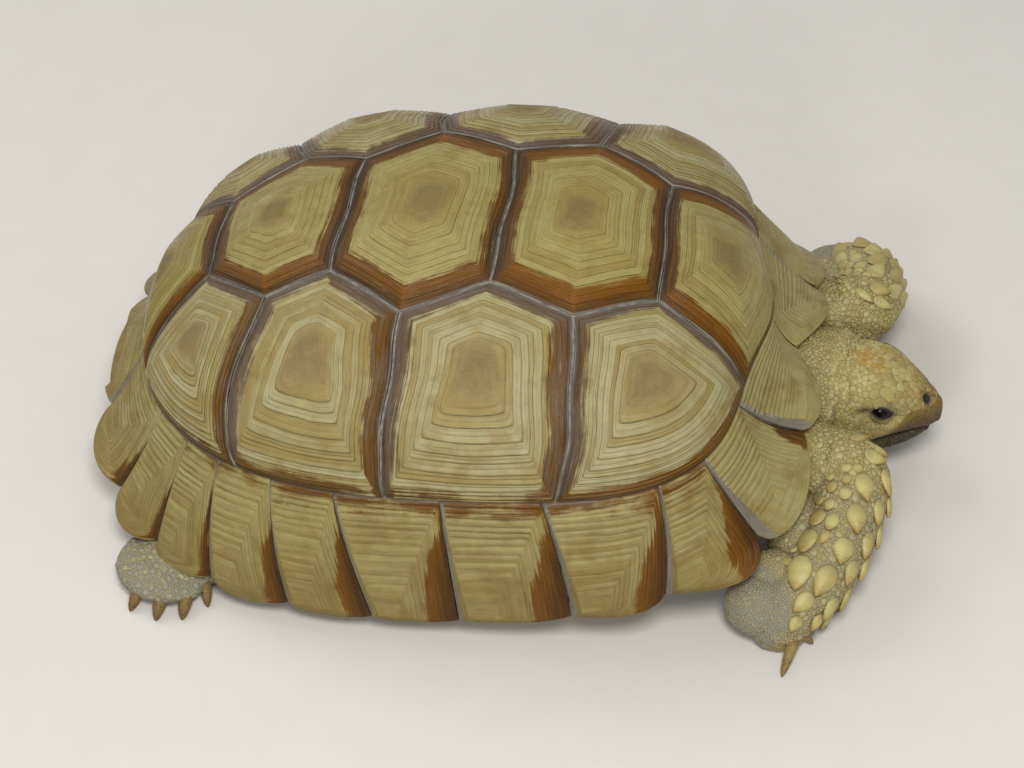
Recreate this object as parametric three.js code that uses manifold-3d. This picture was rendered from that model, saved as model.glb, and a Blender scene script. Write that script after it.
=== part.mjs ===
// African spurred tortoise at rest, life size, as a set of closed faceted solids.
// Units are millimetres, +X is the head end, +Y is the animal's left, +Z is up, and the floor is Z = 0.
import * as THREE from 'three';
import { mergeVertices } from 'three/addons/utils/BufferGeometryUtils.js';
import Module from 'manifold-3d';

const wasm = await Module();
wasm.setup();

// ---------------------------------------------------------------- driving dimensions
const APEX_HEIGHT = 158;          // top of the dome over the floor, before the growth bosses
const DOME_FRONT = 128;           // dome reach forward of the apex line
const DOME_REAR = 176;            // dome reach behind the apex line
const DOME_HALF_WIDTH = 128;
const DOME_SQUARE = [3.27, 2.55];  // plan squareness at the front and the rear
const DOME_POWER = [2.54, 1.73];   // profile exponents: crown flatness, flank steepness
const NUCHAL_BUMP = 11;          // forward point of the front vertebral
const DOME_BASE_Z = [88.3, 12.5, -0.7, 0.4];     // height of the dome's lower edge round the shell
const RIM_FRONT = 159.5;
const RIM_REAR = 195.5;
const RIM_HALF_WIDTH = 141;
const RIM_SQUARE = [3.13, 3.2];
const NUCHAL_NOTCH = 8;           // notch of the rim over the neck
const RIM_Z = [38, 18, 23.3, -1.2, 1.7];   // height of the rim round the shell
const SCUTE_THICKNESS = 7;
const RIM_THICKNESS = 5.5;
const CORE_DEPTH = 11;            // the body core lies this far inside the scutes
const SEAM_GAP = 0.5;             // every scute stops this far short of the seam
const BOSS = { vertebral: 5, costal: 5.5, marginal: 2.2 };
const LOBE = { front: 14, side: 1.5, rear: 10.5, tail: 5 };   // how far a marginal reaches past its seams
// Below 1 the lobe leans to the marginal's rear end, above 1 to its front end.
const LOBE_LEAN = [0.85, 0.62, 1.5, 1, 1, 1, 1, 1, 1, 1, 1];
const LOBE_SHARE = [0.6, 0.82];   // the two front marginals reach less far than the rest
const EDGE_STEP = 24;             // length of one facet along a seam
const CLEARANCE = 0.4;            // free space between neighbouring solids
const PLASTRON_TOP = 14;
const CORE_BOTTOM = 15.2;
const EYE_RADIUS = 6.2;

// Seam junctions of one side on the dome chart: the radius runs from the apex (0) to the lower edge (1).
const VERTEBRAL_CORNERS = [[0.42, 0.217], [0.223, 0.31], [0.033, 0.241], [-0.137, 0.334],
  [-0.283, 0.21], [-0.419, 0.27], [-0.582, 0.157]];
// Angles round the shell, in degrees from the head end.
const FIRST_COSTAL = 21.8;
const COSTAL_SEAMS = [72, 102.2, 127];
const LAST_COSTAL = 157.7;
const MARGINAL_TOPS = [0, 26.4, 42.1, 52.6, 74.3, 92.8, 110.8, 121.1, 130.7, 138, 146.8, 167];
const MARGINAL_RIMS = [0, 19.7, 40.6, 57.6, 71.9, 89.9, 103.3, 115.3, 126.4, 135.8, 146.7, 164];

const RAD = Math.PI / 180;
const UP = new THREE.Vector3(0, 0, 1);

// ---------------------------------------------------------------- finishes
const finish = (color, roughness, metalness = 0) =>
  new THREE.MeshStandardMaterial({ color, roughness, metalness });
const FINISH = {
  vertebral: finish(0x9c8050, 0.45),
  costal: finish(0xa48a58, 0.45),
  marginal: finish(0xa38450, 0.45),
  plastron: finish(0xc9b27c, 0.55),
  flesh: finish(0x9d8f6f, 0.8),
  head: finish(0xb3a067, 0.7),
  beak: finish(0x5d4c33, 0.6),
  eye: finish(0x14110e, 0.08),
};

// ---------------------------------------------------------------- the shell surface
const wrapAngle = (a) => Math.atan2(Math.sin(a), Math.cos(a));
const series = (terms, a) => terms.reduce((sum, term, n) => sum + term * Math.cos(n * a), 0);
const bell = (a, width) => Math.exp(-((wrapAngle(a) / (width * RAD)) ** 2));
const mix = (a, b, t) => a + (b - a) * t;

function squareness(angle, powers) {
  const c = Math.cos(angle);
  const k = mix(powers[1], powers[0], (1 + c) / 2);
  return (Math.abs(c) ** k + Math.abs(Math.sin(angle)) ** k) ** (-1 / k);
}

function domePoint(rho, angle) {
  const r = Math.sin(Math.min(rho, 1) * Math.PI / 2);
  const h = Math.max(1 - r ** DOME_POWER[0], 0) ** (1 / DOME_POWER[1]);
  const q = 1 + (squareness(angle, DOME_SQUARE) - 1) * r * r;
  const reach = (DOME_FRONT + DOME_REAR) / 2 + (DOME_FRONT - DOME_REAR) / 2 * Math.cos(angle) * r;
  const base = series(DOME_BASE_Z, angle);
  return new THREE.Vector3(
    reach * r * Math.cos(angle) * q + NUCHAL_BUMP * r ** 4 * bell(angle, 14),
    DOME_HALF_WIDTH * r * Math.sin(angle) * q,
    base + (APEX_HEIGHT - base) * h);
}

function rimPoint(angle) {
  const q = squareness(angle, RIM_SQUARE);
  const reach = (RIM_FRONT + RIM_REAR) / 2 + (RIM_FRONT - RIM_REAR) / 2 * Math.cos(angle);
  return new THREE.Vector3(
    reach * q * Math.cos(angle) - NUCHAL_NOTCH * bell(angle, 9),
    RIM_HALF_WIDTH * q * Math.sin(angle),
    series(RIM_Z, angle));
}

// The band of marginals: a curve from the dome's lower edge to the rim, hollow at the ends and full at
// the bridge; past the rim it runs straight on.
function bandPoint(v, angle) {
  const top = domePoint(1, angle);
  const rim = rimPoint(angle);
  const flare = Math.cos(angle) ** 2;
  const knee = new THREE.Vector3(
    mix(top.x, rim.x, mix(0.8, 0.35, flare)),
    mix(top.y, rim.y, mix(0.8, 0.35, flare)),
    mix(top.z, rim.z, mix(0.35, 0.7, flare)));
  if (v > 1) {
    const out = rim.clone().sub(knee).multiply(new THREE.Vector3(1, 1, 0.4)).normalize();
    return rim.addScaledVector(out, (v - 1) * 60);
  }
  return top.multiplyScalar((1 - v) ** 2).addScaledVector(knee, 2 * v * (1 - v)).addScaledVector(rim, v * v);
}

function shellPoint(rho, angle) {
  return rho <= 1 ? domePoint(rho, angle) : bandPoint(rho - 1, angle);
}

// Direction from the shell's surface into the body.
function inward(rho, angle) {
  const p = shellPoint(Math.min(rho, 1), angle);
  const core = new THREE.Vector3(p.x * 0.45, p.y * 0.2, series(DOME_BASE_Z, angle) - 10);
  const dome = core.sub(p).normalize();
  if (rho <= 1) return dome;
  const flare = Math.cos(angle) ** 2;
  const flat = mix(0.95, 0.5, flare);
  const rim = new THREE.Vector3(-Math.cos(angle) * flat, -Math.sin(angle) * flat, -mix(0.3, 0.85, flare));
  return dome.lerp(rim, Math.min(rho - 1, 1)).normalize();
}

function shellAt(rho, angle, depth) {
  return shellPoint(rho, angle).addScaledVector(inward(rho, angle), depth);
}

// ---------------------------------------------------------------- closed meshes
// Merges the shared vertices, drops the faces that closed up at the poles, and turns the faces outward.
function closed(geometry) {
  const bare = geometry.clone();
  bare.deleteAttribute('normal');
  bare.deleteAttribute('uv');
  const merged = mergeVertices(bare, 1e-4);
  const index = merged.getIndex().array;
  const kept = [];
  for (let i = 0; i < index.length; i += 3) {
    const [a, b, c] = [index[i], index[i + 1], index[i + 2]];
    if (a !== b && b !== c && c !== a) kept.push(a, b, c);
  }
  const position = merged.getAttribute('position');
  const v = (i) => new THREE.Vector3().fromBufferAttribute(position, i);
  let volume = 0;
  for (let i = 0; i < kept.length; i += 3) {
    volume += v(kept[i]).dot(v(kept[i + 1]).cross(v(kept[i + 2])));
  }
  if (volume < 0) {
    for (let i = 0; i < kept.length; i += 3) [kept[i + 1], kept[i + 2]] = [kept[i + 2], kept[i + 1]];
  }
  merged.setIndex(kept);
  merged.computeVertexNormals();
  return merged;
}

// A lathed body whose vertices are laid out anew: place(i, j) gives column i of row j.
function laidOut(columns, rows, place) {
  const profile = [];
  for (let j = 0; j < rows; j++) profile.push(new THREE.Vector2(j === 0 || j === rows - 1 ? 0 : 1, j));
  const geometry = new THREE.LatheGeometry(profile, columns);
  const position = geometry.getAttribute('position');
  for (let i = 0; i <= columns; i++) {
    for (let j = 0; j < rows; j++) {
      const p = place(i % columns, j);
      position.setXYZ(i * rows + j, p.x, p.y, p.z);
    }
  }
  return closed(geometry);
}

function toSolid(geometry) {
  return new wasm.Manifold(new wasm.Mesh({
    numProp: 3,
    vertProperties: Float32Array.from(geometry.getAttribute('position').array),
    triVerts: Uint32Array.from(geometry.getIndex().array),
  }));
}

function fromSolid(solid) {
  const mesh = solid.getMesh();
  const geometry = new THREE.BufferGeometry();
  geometry.setAttribute('position', new THREE.BufferAttribute(Float32Array.from(mesh.vertProperties), 3));
  geometry.setIndex(Array.from(mesh.triVerts));
  geometry.computeVertexNormals();
  return geometry;
}

// Keeps the largest body of a cut piece.
function largest(solid) {
  const bodies = solid.decompose();
  return bodies.reduce((a, b) => (b.volume() > a.volume() ? b : a));
}

// ---------------------------------------------------------------- scutes
// Chart points: the dome uses a plane chart (p, q), the band uses (angle, v).
const onDome = (p, q) => ({ rho: Math.hypot(p, q), angle: Math.atan2(q, p) });
const basePoint = (degrees) => [Math.cos(degrees * RAD), Math.sin(degrees * RAD)];

function stepCount(from, to) {
  return Math.max(1, Math.round(from.distanceTo(to) / EDGE_STEP));
}

function domeEdge(from, to) {
  const a = onDome(...from);
  const b = onDome(...to);
  const alongBase = a.rho > 0.999 && b.rho > 0.999;
  const steps = stepCount(domePoint(a.rho, a.angle), domePoint(b.rho, b.angle));
  const points = [];
  for (let i = 0; i < steps; i++) {
    const t = i / steps;
    if (alongBase) {
      const angle = a.angle + wrapAngle(b.angle - a.angle) * t;
      points.push([Math.cos(angle), Math.sin(angle)]);
    } else {
      points.push([mix(from[0], to[0], t), mix(from[1], to[1], t)]);
    }
  }
  return points;
}

function domeLoop(corners) {
  return corners.flatMap((corner, i) => domeEdge(corner, corners[(i + 1) % corners.length]));
}

// One scute: rings from its middle to its outline on the outer face, a wall, and rings back underneath.
function scute(loop, centre, chart, boss, thickness, rings = [0.38, 0.74, 1]) {
  const middle = chart(centre);
  const middlePoint = shellAt(middle.rho, middle.angle, thickness / 2);
  const rows = 2 * rings.length + 2;
  return laidOut(loop.length, rows, (i, j) => {
    const outer = j <= rings.length;
    const k = outer ? j : rows - 1 - j;
    const s = k === 0 ? 0 : rings[k - 1];
    const at = chart([mix(centre[0], loop[i][0], s), mix(centre[1], loop[i][1], s)]);
    const wall = typeof thickness === 'function' ? thickness(at) : thickness;
    const depth = outer ? -boss * (1 - s ** 1.8) : wall;
    const p = shellAt(at.rho, at.angle, depth);
    if (s === 1) {
      const back = middlePoint.clone().sub(p).normalize();
      p.addScaledVector(back, SEAM_GAP);
    }
    return p;
  });
}

const pieces = [];
const addPiece = (name, geometry, material) => {
  const mesh = new THREE.Mesh(geometry, material);
  mesh.name = name;
  pieces.push(mesh);
  return mesh;
};

const left = VERTEBRAL_CORNERS;
const right = VERTEBRAL_CORNERS.map(([p, q]) => [p, -q]);
const domeChart = ([p, q]) => onDome(p, q);

const vertebrals = [
  [basePoint(-FIRST_COSTAL), basePoint(0), basePoint(FIRST_COSTAL), left[0], right[0]],
  [left[0], left[1], left[2], right[2], right[1], right[0]],
  [left[2], left[3], left[4], right[4], right[3], right[2]],
  [left[4], left[5], left[6], right[6], right[5], right[4]],
  [left[6], basePoint(LAST_COSTAL), basePoint(167), basePoint(180), basePoint(-167),
    basePoint(-LAST_COSTAL), right[6]],
];
const vertebralMiddles = [0.66, 0.2, -0.15, -0.45, -0.78];
vertebrals.forEach((corners, i) => {
  addPiece(`vertebral_${i + 1}`,
    scute(domeLoop(corners), [vertebralMiddles[i], 0], domeChart, BOSS.vertebral, SCUTE_THICKNESS),
    FINISH.vertebral);
});

const costals = [
  [left[0], basePoint(FIRST_COSTAL), ...MARGINAL_TOPS.slice(1, 4).map(basePoint),
    basePoint(COSTAL_SEAMS[0]), left[1]],
  [left[1], basePoint(COSTAL_SEAMS[0]), ...MARGINAL_TOPS.slice(4, 6).map(basePoint), basePoint(COSTAL_SEAMS[1]),
    left[3], left[2]],
  [left[3], basePoint(COSTAL_SEAMS[1]), ...MARGINAL_TOPS.slice(6, 8).map(basePoint), basePoint(COSTAL_SEAMS[2]),
    left[5], left[4]],
  [left[5], basePoint(COSTAL_SEAMS[2]), ...MARGINAL_TOPS.slice(8, 11).map(basePoint),
    basePoint(LAST_COSTAL), left[6]],
];
const costalMiddles = [[0.44, 0.47], [0.04, 0.58], [-0.34, 0.56], [-0.62, 0.42]];
for (const [side, sign] of [['l', 1], ['r', -1]]) {
  costals.forEach((corners, i) => {
    const outline = corners.map(([p, q]) => [p, q * sign]);
    const [p, q] = costalMiddles[i];
    addPiece(`costal_${side}${i + 1}`,
      scute(domeLoop(outline), [p, q * sign], domeChart, BOSS.costal, SCUTE_THICKNESS, [0.36, 0.68, 1]),
      FINISH.costal);
  });
}

// Reach of a marginal's lobe past the rim, in units of the band chart.
function lobeReach(angle, t, lean, share) {
  const c = Math.cos(angle);
  const end = c > 0 ? LOBE.front : c < -0.98 ? LOBE.tail : LOBE.rear;
  const reach = mix(LOBE.side, end, Math.min(1, Math.abs(c) * 1.35) ** 2) * share;
  return reach * Math.sin(Math.PI * t ** lean) ** 0.7 / 60;
}

const bandChart = ([angle, v]) => ({ rho: 1 + v, angle });
const bandThickness = (at) => mix(SCUTE_THICKNESS, RIM_THICKNESS, Math.min(at.rho - 1, 1));

function marginal(topAngles, rimAngles, sign, lean = 1, share = 1) {
  const loop = [];
  const tops = topAngles.map((a) => a * sign * RAD);
  const rims = rimAngles.map((a) => a * sign * RAD);
  for (let i = 0; i + 1 < tops.length; i++) {
    const steps = stepCount(domePoint(1, tops[i]), domePoint(1, tops[i + 1]));
    for (let k = 0; k < steps; k++) loop.push([mix(tops[i], tops[i + 1], k / steps), 0]);
  }
  const seam = (from, to, upward) => {
    for (let k = 0; k < 2; k++) {
      const v = upward ? 1 - k / 2 : k / 2;
      loop.push([mix(from, to, v), v]);
    }
  };
  seam(tops[tops.length - 1], rims[1], false);
  for (let k = 0; k < 4; k++) {
    const t = k / 4;
    const angle = mix(rims[1], rims[0], t);
    loop.push([angle, 1 + lobeReach(angle, t, lean, share)]);
  }
  seam(tops[0], rims[0], true);
  const middle = [(tops[0] + tops[tops.length - 1] + rims[0] + rims[1]) / 4, 0.5];
  return { loop, middle };
}

const extraTops = { 0: [FIRST_COSTAL], 3: [COSTAL_SEAMS[0]], 5: [COSTAL_SEAMS[1]], 7: [COSTAL_SEAMS[2]],
  10: [LAST_COSTAL] };
function bandScute(loop, middle) {
  const chart = bandChart;
  const centre = chart(middle);
  const centrePoint = shellAt(centre.rho, centre.angle, 3);
  const rings = [0.5, 1];
  const rows = 2 * rings.length + 2;
  return laidOut(loop.length, rows, (i, j) => {
    const outer = j <= rings.length;
    const k = outer ? j : rows - 1 - j;
    const s = k === 0 ? 0 : rings[k - 1];
    const at = chart([mix(middle[0], loop[i][0], s), mix(middle[1], loop[i][1], s)]);
    const depth = outer ? -BOSS.marginal * (1 - s ** 1.8) : bandThickness(at);
    const p = shellAt(at.rho, at.angle, depth);
    if (s === 1) p.addScaledVector(centrePoint.clone().sub(p).normalize(), SEAM_GAP);
    return p;
  });
}
for (const [side, sign] of [['l', 1], ['r', -1]]) {
  for (let i = 0; i < 11; i++) {
    const tops = [MARGINAL_TOPS[i], ...(extraTops[i] ?? []), MARGINAL_TOPS[i + 1]];
    const { loop, middle } = marginal(tops, [MARGINAL_RIMS[i], MARGINAL_RIMS[i + 1]], sign,
      LOBE_LEAN[i], LOBE_SHARE[i] ?? 1);
    addPiece(`marginal_${side}${i + 1}`, bandScute(loop, middle), FINISH.marginal);
  }
}
const tailScute = marginal([167, 180, 193], [164, 196], 1);
addPiece('supracaudal', bandScute(tailScute.loop, tailScute.middle), FINISH.marginal);

// ---------------------------------------------------------------- plastron
const PLASTRON_ANGLES = [0, 26, 50, 72, 100, 122, 146, 165, 180];
const PLASTRON_UPPER = [128, 112, 108, 127, 126, 122, 138, 158, 156];
const PLASTRON_LOWER = [116, 100, 92, 96, 95, 100, 118, 140, 142];
function stationValue(stations, values, degrees) {
  const a = Math.abs(wrapAngle(degrees * RAD)) / RAD;
  const i = Math.max(0, stations.findIndex((s) => s >= a - 1e-9) - 1);
  const t = Math.min(1, Math.max(0, (a - stations[i]) / (stations[i + 1] - stations[i])));
  return mix(values[i], values[i + 1], t * t * (3 - 2 * t));
}
function plastronBody(extra) {
  const columns = 36;
  return laidOut(columns, 5, (i, j) => {
    const a = i / columns * 360;
    if (j === 0) return new THREE.Vector3(-20, 0, PLASTRON_TOP + extra);
    if (j === 4) return new THREE.Vector3(-20, 0, 0);
    const upper = stationValue(PLASTRON_ANGLES, PLASTRON_UPPER, a) + extra;
    const lower = stationValue(PLASTRON_ANGLES, PLASTRON_LOWER, a) + extra;
    const radius = j === 3 ? lower : upper;
    const z = j === 1 ? PLASTRON_TOP + extra : j === 2 ? PLASTRON_TOP - 4 : 0;
    return new THREE.Vector3(radius * Math.cos(a * RAD), radius * Math.sin(a * RAD), z);
  });
}
addPiece('plastron', plastronBody(0), FINISH.plastron);

// ---------------------------------------------------------------- body core
// The trunk fills the shell; at the head and tail ends it draws back from the rim to leave the openings.
function trunkBody(extra) {
  const columns = 32;
  const rows = [[0, 0], [0.35, 0], [0.65, 0], [0.88, 0], [1, 0], [1.3, 0.5]];
  return laidOut(columns, rows.length + 3, (i, j) => {
    const angle = i / columns * 2 * Math.PI;
    const flare = Math.cos(angle) ** 2;
    if (j < rows.length) {
      const [rho, deeper] = rows[j];
      return shellAt(rho, angle, CORE_DEPTH + deeper * 8 - extra);
    }
    const k = j - rows.length;
    const rim = rimPoint(angle);
    const pull = [mix(0.88, 0.76, flare), mix(0.84, 0.66, flare), 0][k];
    const low = CORE_BOTTOM - extra;
    const z = k === 0 ? mix(low + 12, 50, flare) : low;
    const out = k === 2 ? 0 : extra;
    return new THREE.Vector3(rim.x * pull + Math.cos(angle) * out, rim.y * pull + Math.sin(angle) * out, z);
  });
}
addPiece('trunk', trunkBody(0), FINISH.flesh);

// A bowl that stands for the whole carapace, used to keep the limbs clear of it.
function carapaceBowl() {
  const columns = 48;
  const outer = [0, 0.4, 0.75, 0.95, 1, 1.35, 1.7, 2, 2.32];
  const inner = [2.32, 2, 1.7, 1.35, 1, 0.95, 0.75, 0.4, 0];
  return laidOut(columns, outer.length + inner.length, (i, j) => {
    const angle = i / columns * 2 * Math.PI;
    const out = j < outer.length;
    const rho = out ? outer[j] : inner[j - outer.length];
    return shellAt(rho, angle, out ? -15 : (rho > 1 ? mix(SCUTE_THICKNESS, RIM_THICKNESS, rho - 1) : 7) + 1.6);
  });
}

// ---------------------------------------------------------------- limbs
// A tapering body along a curve; across is the direction of its width.
function limb(path, sizes, across, columns = 10, extra = 0, rowsPerSpan = 2) {
  const curve = new THREE.CatmullRomCurve3(path.map((p) => new THREE.Vector3(...p)), false, 'centripetal');
  const spans = (path.length - 1) * rowsPerSpan;
  const side = new THREE.Vector3(...across);
  return laidOut(columns, spans + 3, (i, j) => {
    const row = Math.min(spans, Math.max(0, j - 1));
    const t = row / spans;
    const at = curve.getPoint(t);
    const tangent = curve.getTangent(t);
    const cap = j === 0 ? -1 : j === spans + 2 ? 1 : 0;
    const f = t * (sizes.length - 1);
    const k = Math.min(sizes.length - 2, Math.floor(f));
    const w = mix(sizes[k][0], sizes[k + 1][0], f - k) + extra;
    const h = mix(sizes[k][1], sizes[k + 1][1], f - k) + extra;
    if (cap !== 0) return at.addScaledVector(tangent, cap * Math.min(w, h) * 0.45);
    const u = side.clone().addScaledVector(tangent, -side.dot(tangent)).normalize();
    const v = new THREE.Vector3().crossVectors(tangent, u);
    const a = i / columns * 2 * Math.PI;
    return at.addScaledVector(u, w * Math.cos(a)).addScaledVector(v, h * Math.sin(a));
  });
}

function ball(centre, radii, columns = 11, rows = 6) {
  const geometry = new THREE.SphereGeometry(1, columns, rows);
  geometry.scale(...radii);
  geometry.translate(...centre);
  return closed(geometry);
}

const claw = (root, tip, radius) => {
  const bend = root.map((c, i) => mix(c, tip[i], 0.55) + (i === 2 ? radius * 0.7 : 0));
  return limb([root, bend, tip], [[radius, radius * 0.8], [radius * 0.8, radius * 0.7], [0.8, 0.8]],
    [0.3, 0.2, 1], 5, 0, 1);
};

const floor = closed(new THREE.BoxGeometry(900, 900, 60).translate(0, 0, -30));
const floorSolid = toSolid(floor);
const bowlSolid = toSolid(carapaceBowl());
const trunkCutter = toSolid(trunkBody(CLEARANCE));
const plastronCutter = toSolid(plastronBody(CLEARANCE));

function join(parts) {
  return parts.map(toSolid).reduce((a, b) => a.add(b));
}

function fitted(solid) {
  return largest(solid.subtract(bowlSolid).subtract(trunkCutter).subtract(plastronCutter).subtract(floorSolid));
}

// Each leg: the path from inside the shell to the foot, the pad of the foot, the flesh of wrist and elbow, and the claws.
const LEGS = {
  leg_fr: {
    path: [[104, -62, 44], [152, -47, 48], [182, -52, 46], [181, -78, 37], [168, -105, 25], [155, -117, 12],
      [153, -119, 3]],
    sizes: [[21, 18], [21, 19], [20, 19], [19, 18], [19, 18], [18, 17], [16, 15]],
    across: [0.8, 0.6, 0],
    pad: [[144, -115, 16.5], [18.5, 17, 16.5]],
    wrist: [[152, -103, 25], [17, 14, 14]],
    elbow: [[160, -78, 30], [17, 22, 18]],
    claws: [[[162, -128, 9], [157, -146, 0.8], 4.2], [[163, -122, 8], [171, -124, 0.8], 4],
      [[167, -113, 8], [177, -113, 0.8], 4], [[171, -104, 9], [183, -102, 0.8], 3.8],
      [[174, -95, 11], [187, -92, 1.2], 3.4]],
  },
  leg_fl: {
    path: [[104, 64, 44], [150, 60, 48], [182, 66, 45], [187, 90, 37], [183, 112, 26], [178, 122, 13],
      [177, 124, 3]],
    sizes: [[21, 18], [21, 19], [20, 19], [19, 18], [19, 18], [18, 17], [16, 15]],
    across: [0.95, -0.3, 0],
    pad: [[168, 122, 16.5], [18.5, 17, 16.5]],
    wrist: [[170, 109, 25], [17, 14, 14]],
    elbow: [[168, 88, 30], [17, 22, 18]],
    claws: [[[174, 137, 8], [174, 149, 0.8], 4.2], [[182, 133, 8], [187, 144, 0.8], 4],
      [[189, 127, 8], [197, 136, 0.8], 4], [[192, 119, 8], [203, 125, 0.8], 3.8],
      [[193, 110, 9], [204, 113, 1.2], 3.4]],
  },
  leg_hr: {
    path: [[-100, -62, 38], [-126, -84, 27], [-144, -106, 16], [-149, -116, 8], [-149, -118, 3]],
    sizes: [[26, 18], [25, 15], [22, 11.5], [22, 20], [20, 18]],
    across: [0.75, -0.65, 0],
    pad: [[-150, -115.5, 11.5], [28, 24.5, 12.5]],
    claws: [[[-162, -131, 6.5], [-167, -144, 0.8], 4.2], [[-150, -134, 6.5], [-152, -150, 0.8], 4.4],
      [[-137, -134, 6.5], [-139, -150, 0.8], 4.4], [[-128, -129, 6.5], [-125, -143, 0.8], 4]],
  },
  leg_hl: {
    path: [[-100, 62, 38], [-126, 84, 27], [-145, 106, 16], [-151, 115, 8], [-151, 117, 3]],
    sizes: [[26, 18], [25, 15], [22, 11.5], [22, 20], [20, 18]],
    across: [0.75, 0.65, 0],
    pad: [[-151, 115, 11.5], [28, 24.5, 12.5]],
    claws: [[[-163, 131, 6.5], [-168, 144, 0.8], 4.2], [[-151, 134, 6.5], [-153, 149, 0.8], 4.4],
      [[-138, 134, 6.5], [-140, 149, 0.8], 4.4], [[-129, 129, 6.5], [-126, 142, 0.8], 4]],
  },
};

// ---------------------------------------------------------------- head, jaw and neck
const HEAD_AT = [192, 3.5, 46.5];
const HEAD_YAW = -3 * RAD;
const HEAD_ROLL = -6 * RAD;
const HEAD_SQUARE = 2.7;
// Stations along the head: position, half width, crown height, underside.
const HEAD_STATIONS = [
  [-34, 18, 15, -16], [-27, 22.5, 20, -21], [-16, 25.5, 23.5, -24], [-4, 25.5, 24, -22], [6, 23, 22, -18],
  [15, 18.5, 18, -15], [23, 13.5, 12.5, -13.5], [29, 9.5, 7.5, -13], [32.5, 5.5, 2.5, -11.5],
];
const JAW_STATIONS = [
  [-20, 17.5, -15, -27], [-8, 19, -14, -28.5], [4, 16.5, -13, -27.5], [14, 12.5, -12.5, -25],
  [22, 8.5, -12.5, -21.5], [27.5, 4.5, -13, -18],
];
function loft(stations, columns, extra = 0) {
  const power = HEAD_SQUARE;
  return laidOut(columns, stations.length + 2, (i, j) => {
    const row = Math.min(stations.length - 1, Math.max(0, j - 1));
    const [x, w, top, bottom] = stations[row];
    const zc = (top + bottom) / 2;
    const hz = (top - bottom) / 2 + extra;
    const cap = j === 0 ? -1 : j === stations.length + 1 ? 1 : 0;
    if (cap !== 0) return new THREE.Vector3(x + cap * (2 + extra), 0, zc);
    const a = i / columns * 2 * Math.PI;
    const c = Math.cos(a);
    const s = Math.sin(a);
    const k = (Math.abs(c) ** power + Math.abs(s) ** power) ** (-1 / power);
    return new THREE.Vector3(x, (w + extra) * c * k, zc + hz * s * k);
  });
}
const NECK_PATH = [[100, 0, 46], [132, 3, 46], [160, 7, 46.5], [174, 8, 46.5], [182, 6.5, 46]];
const NECK_SIZES = [[28, 23], [31, 26], [34, 28], [32.5, 27], [26, 22]];
const headPlace = new THREE.Matrix4()
  .makeTranslation(...HEAD_AT)
  .multiply(new THREE.Matrix4().makeRotationZ(HEAD_YAW))
  .multiply(new THREE.Matrix4().makeRotationX(HEAD_ROLL));
const placed = (geometry) => geometry.applyMatrix4(headPlace);

const eyes = { eye_l: [4.2, 18.6, 4.2], eye_r: [4.2, -18.6, 4.2] };
let head = toSolid(placed(loft(HEAD_STATIONS, 18)));
head = head.subtract(toSolid(placed(loft(JAW_STATIONS, 14, CLEARANCE + 0.1))));
for (const centre of Object.values(eyes)) {
  head = head.subtract(toSolid(placed(ball(centre, Array(3).fill(EYE_RADIUS + CLEARANCE), 12, 8))));
}
const headCutter = toSolid(placed(loft(HEAD_STATIONS, 18, CLEARANCE)))
  .add(toSolid(placed(loft(JAW_STATIONS, 14, CLEARANCE + 0.1))));
const neckBody = limb(NECK_PATH,
  NECK_SIZES, [0, 1, 0], 16);
const neck = largest(fitted(toSolid(neckBody)).subtract(headCutter));
const neckCutter = toSolid(limb(NECK_PATH,
  NECK_SIZES, [0, 1, 0], 16, CLEARANCE + 0.3)).add(headCutter);

addPiece('head', fromSolid(largest(head.subtract(bowlSolid))), FINISH.head);
addPiece('lower_jaw', placed(loft(JAW_STATIONS, 14)), FINISH.beak);
for (const [name, centre] of Object.entries(eyes)) {
  addPiece(name, placed(ball(centre, Array(3).fill(EYE_RADIUS), 11, 6)), FINISH.eye);
}
addPiece('neck', fromSolid(neck), FINISH.flesh);

for (const [name, leg] of Object.entries(LEGS)) {
  const parts = [limb(leg.path, leg.sizes, leg.across), ball(...leg.pad, 10, 6), ...leg.claws.map((c) => claw(...c))];
  if (leg.wrist) parts.push(ball(...leg.wrist, 8, 4), ball(...leg.elbow, 8, 4));
  let solid = join(parts);
  if (name.startsWith('leg_f')) solid = solid.subtract(neckCutter);
  addPiece(name, fromSolid(fitted(solid)), FINISH.flesh);
}

const tailBody = limb([[-140, 0, 34], [-166, 2, 27], [-184, 8, 15], [-190, 18, 7]],
  [[15, 13], [12, 11], [8, 7.5], [4, 4]], [0, 1, 0], 10);
addPiece('tail', fromSolid(fitted(toSolid(tailBody))), FINISH.flesh);

// ---------------------------------------------------------------- assembly
const tortoise = new THREE.Group();
tortoise.name = 'sulcata_tortoise';
const groups = { shell: new THREE.Group(), body: new THREE.Group() };
for (const piece of pieces) {
  const ofShell = /^(vertebral|costal|marginal|supracaudal|plastron)/.test(piece.name);
  (ofShell ? groups.shell : groups.body).add(piece);
}
tortoise.add(groups.shell, groups.body);

export default tortoise;
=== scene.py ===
"""Looks of a life-size African spurred tortoise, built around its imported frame.

The frame gives the place and the size of every solid. This script gives each horn plate its growth
rings, lays one skin over the neck, head, legs and tail, covers it with scales, and sets eyes, lids,
beak and claws. Lengths inside the classes are millimetres, and meshes are stored in metres.
"""
from __future__ import annotations

import logging
import math
from dataclasses import dataclass
from enum import Enum
from typing import Callable, Collection, Optional, Sequence

import bmesh
import bpy
import numpy as np
from mathutils import Matrix, Vector
from mathutils.bvhtree import BVHTree
from mathutils.kdtree import KDTree

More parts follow.
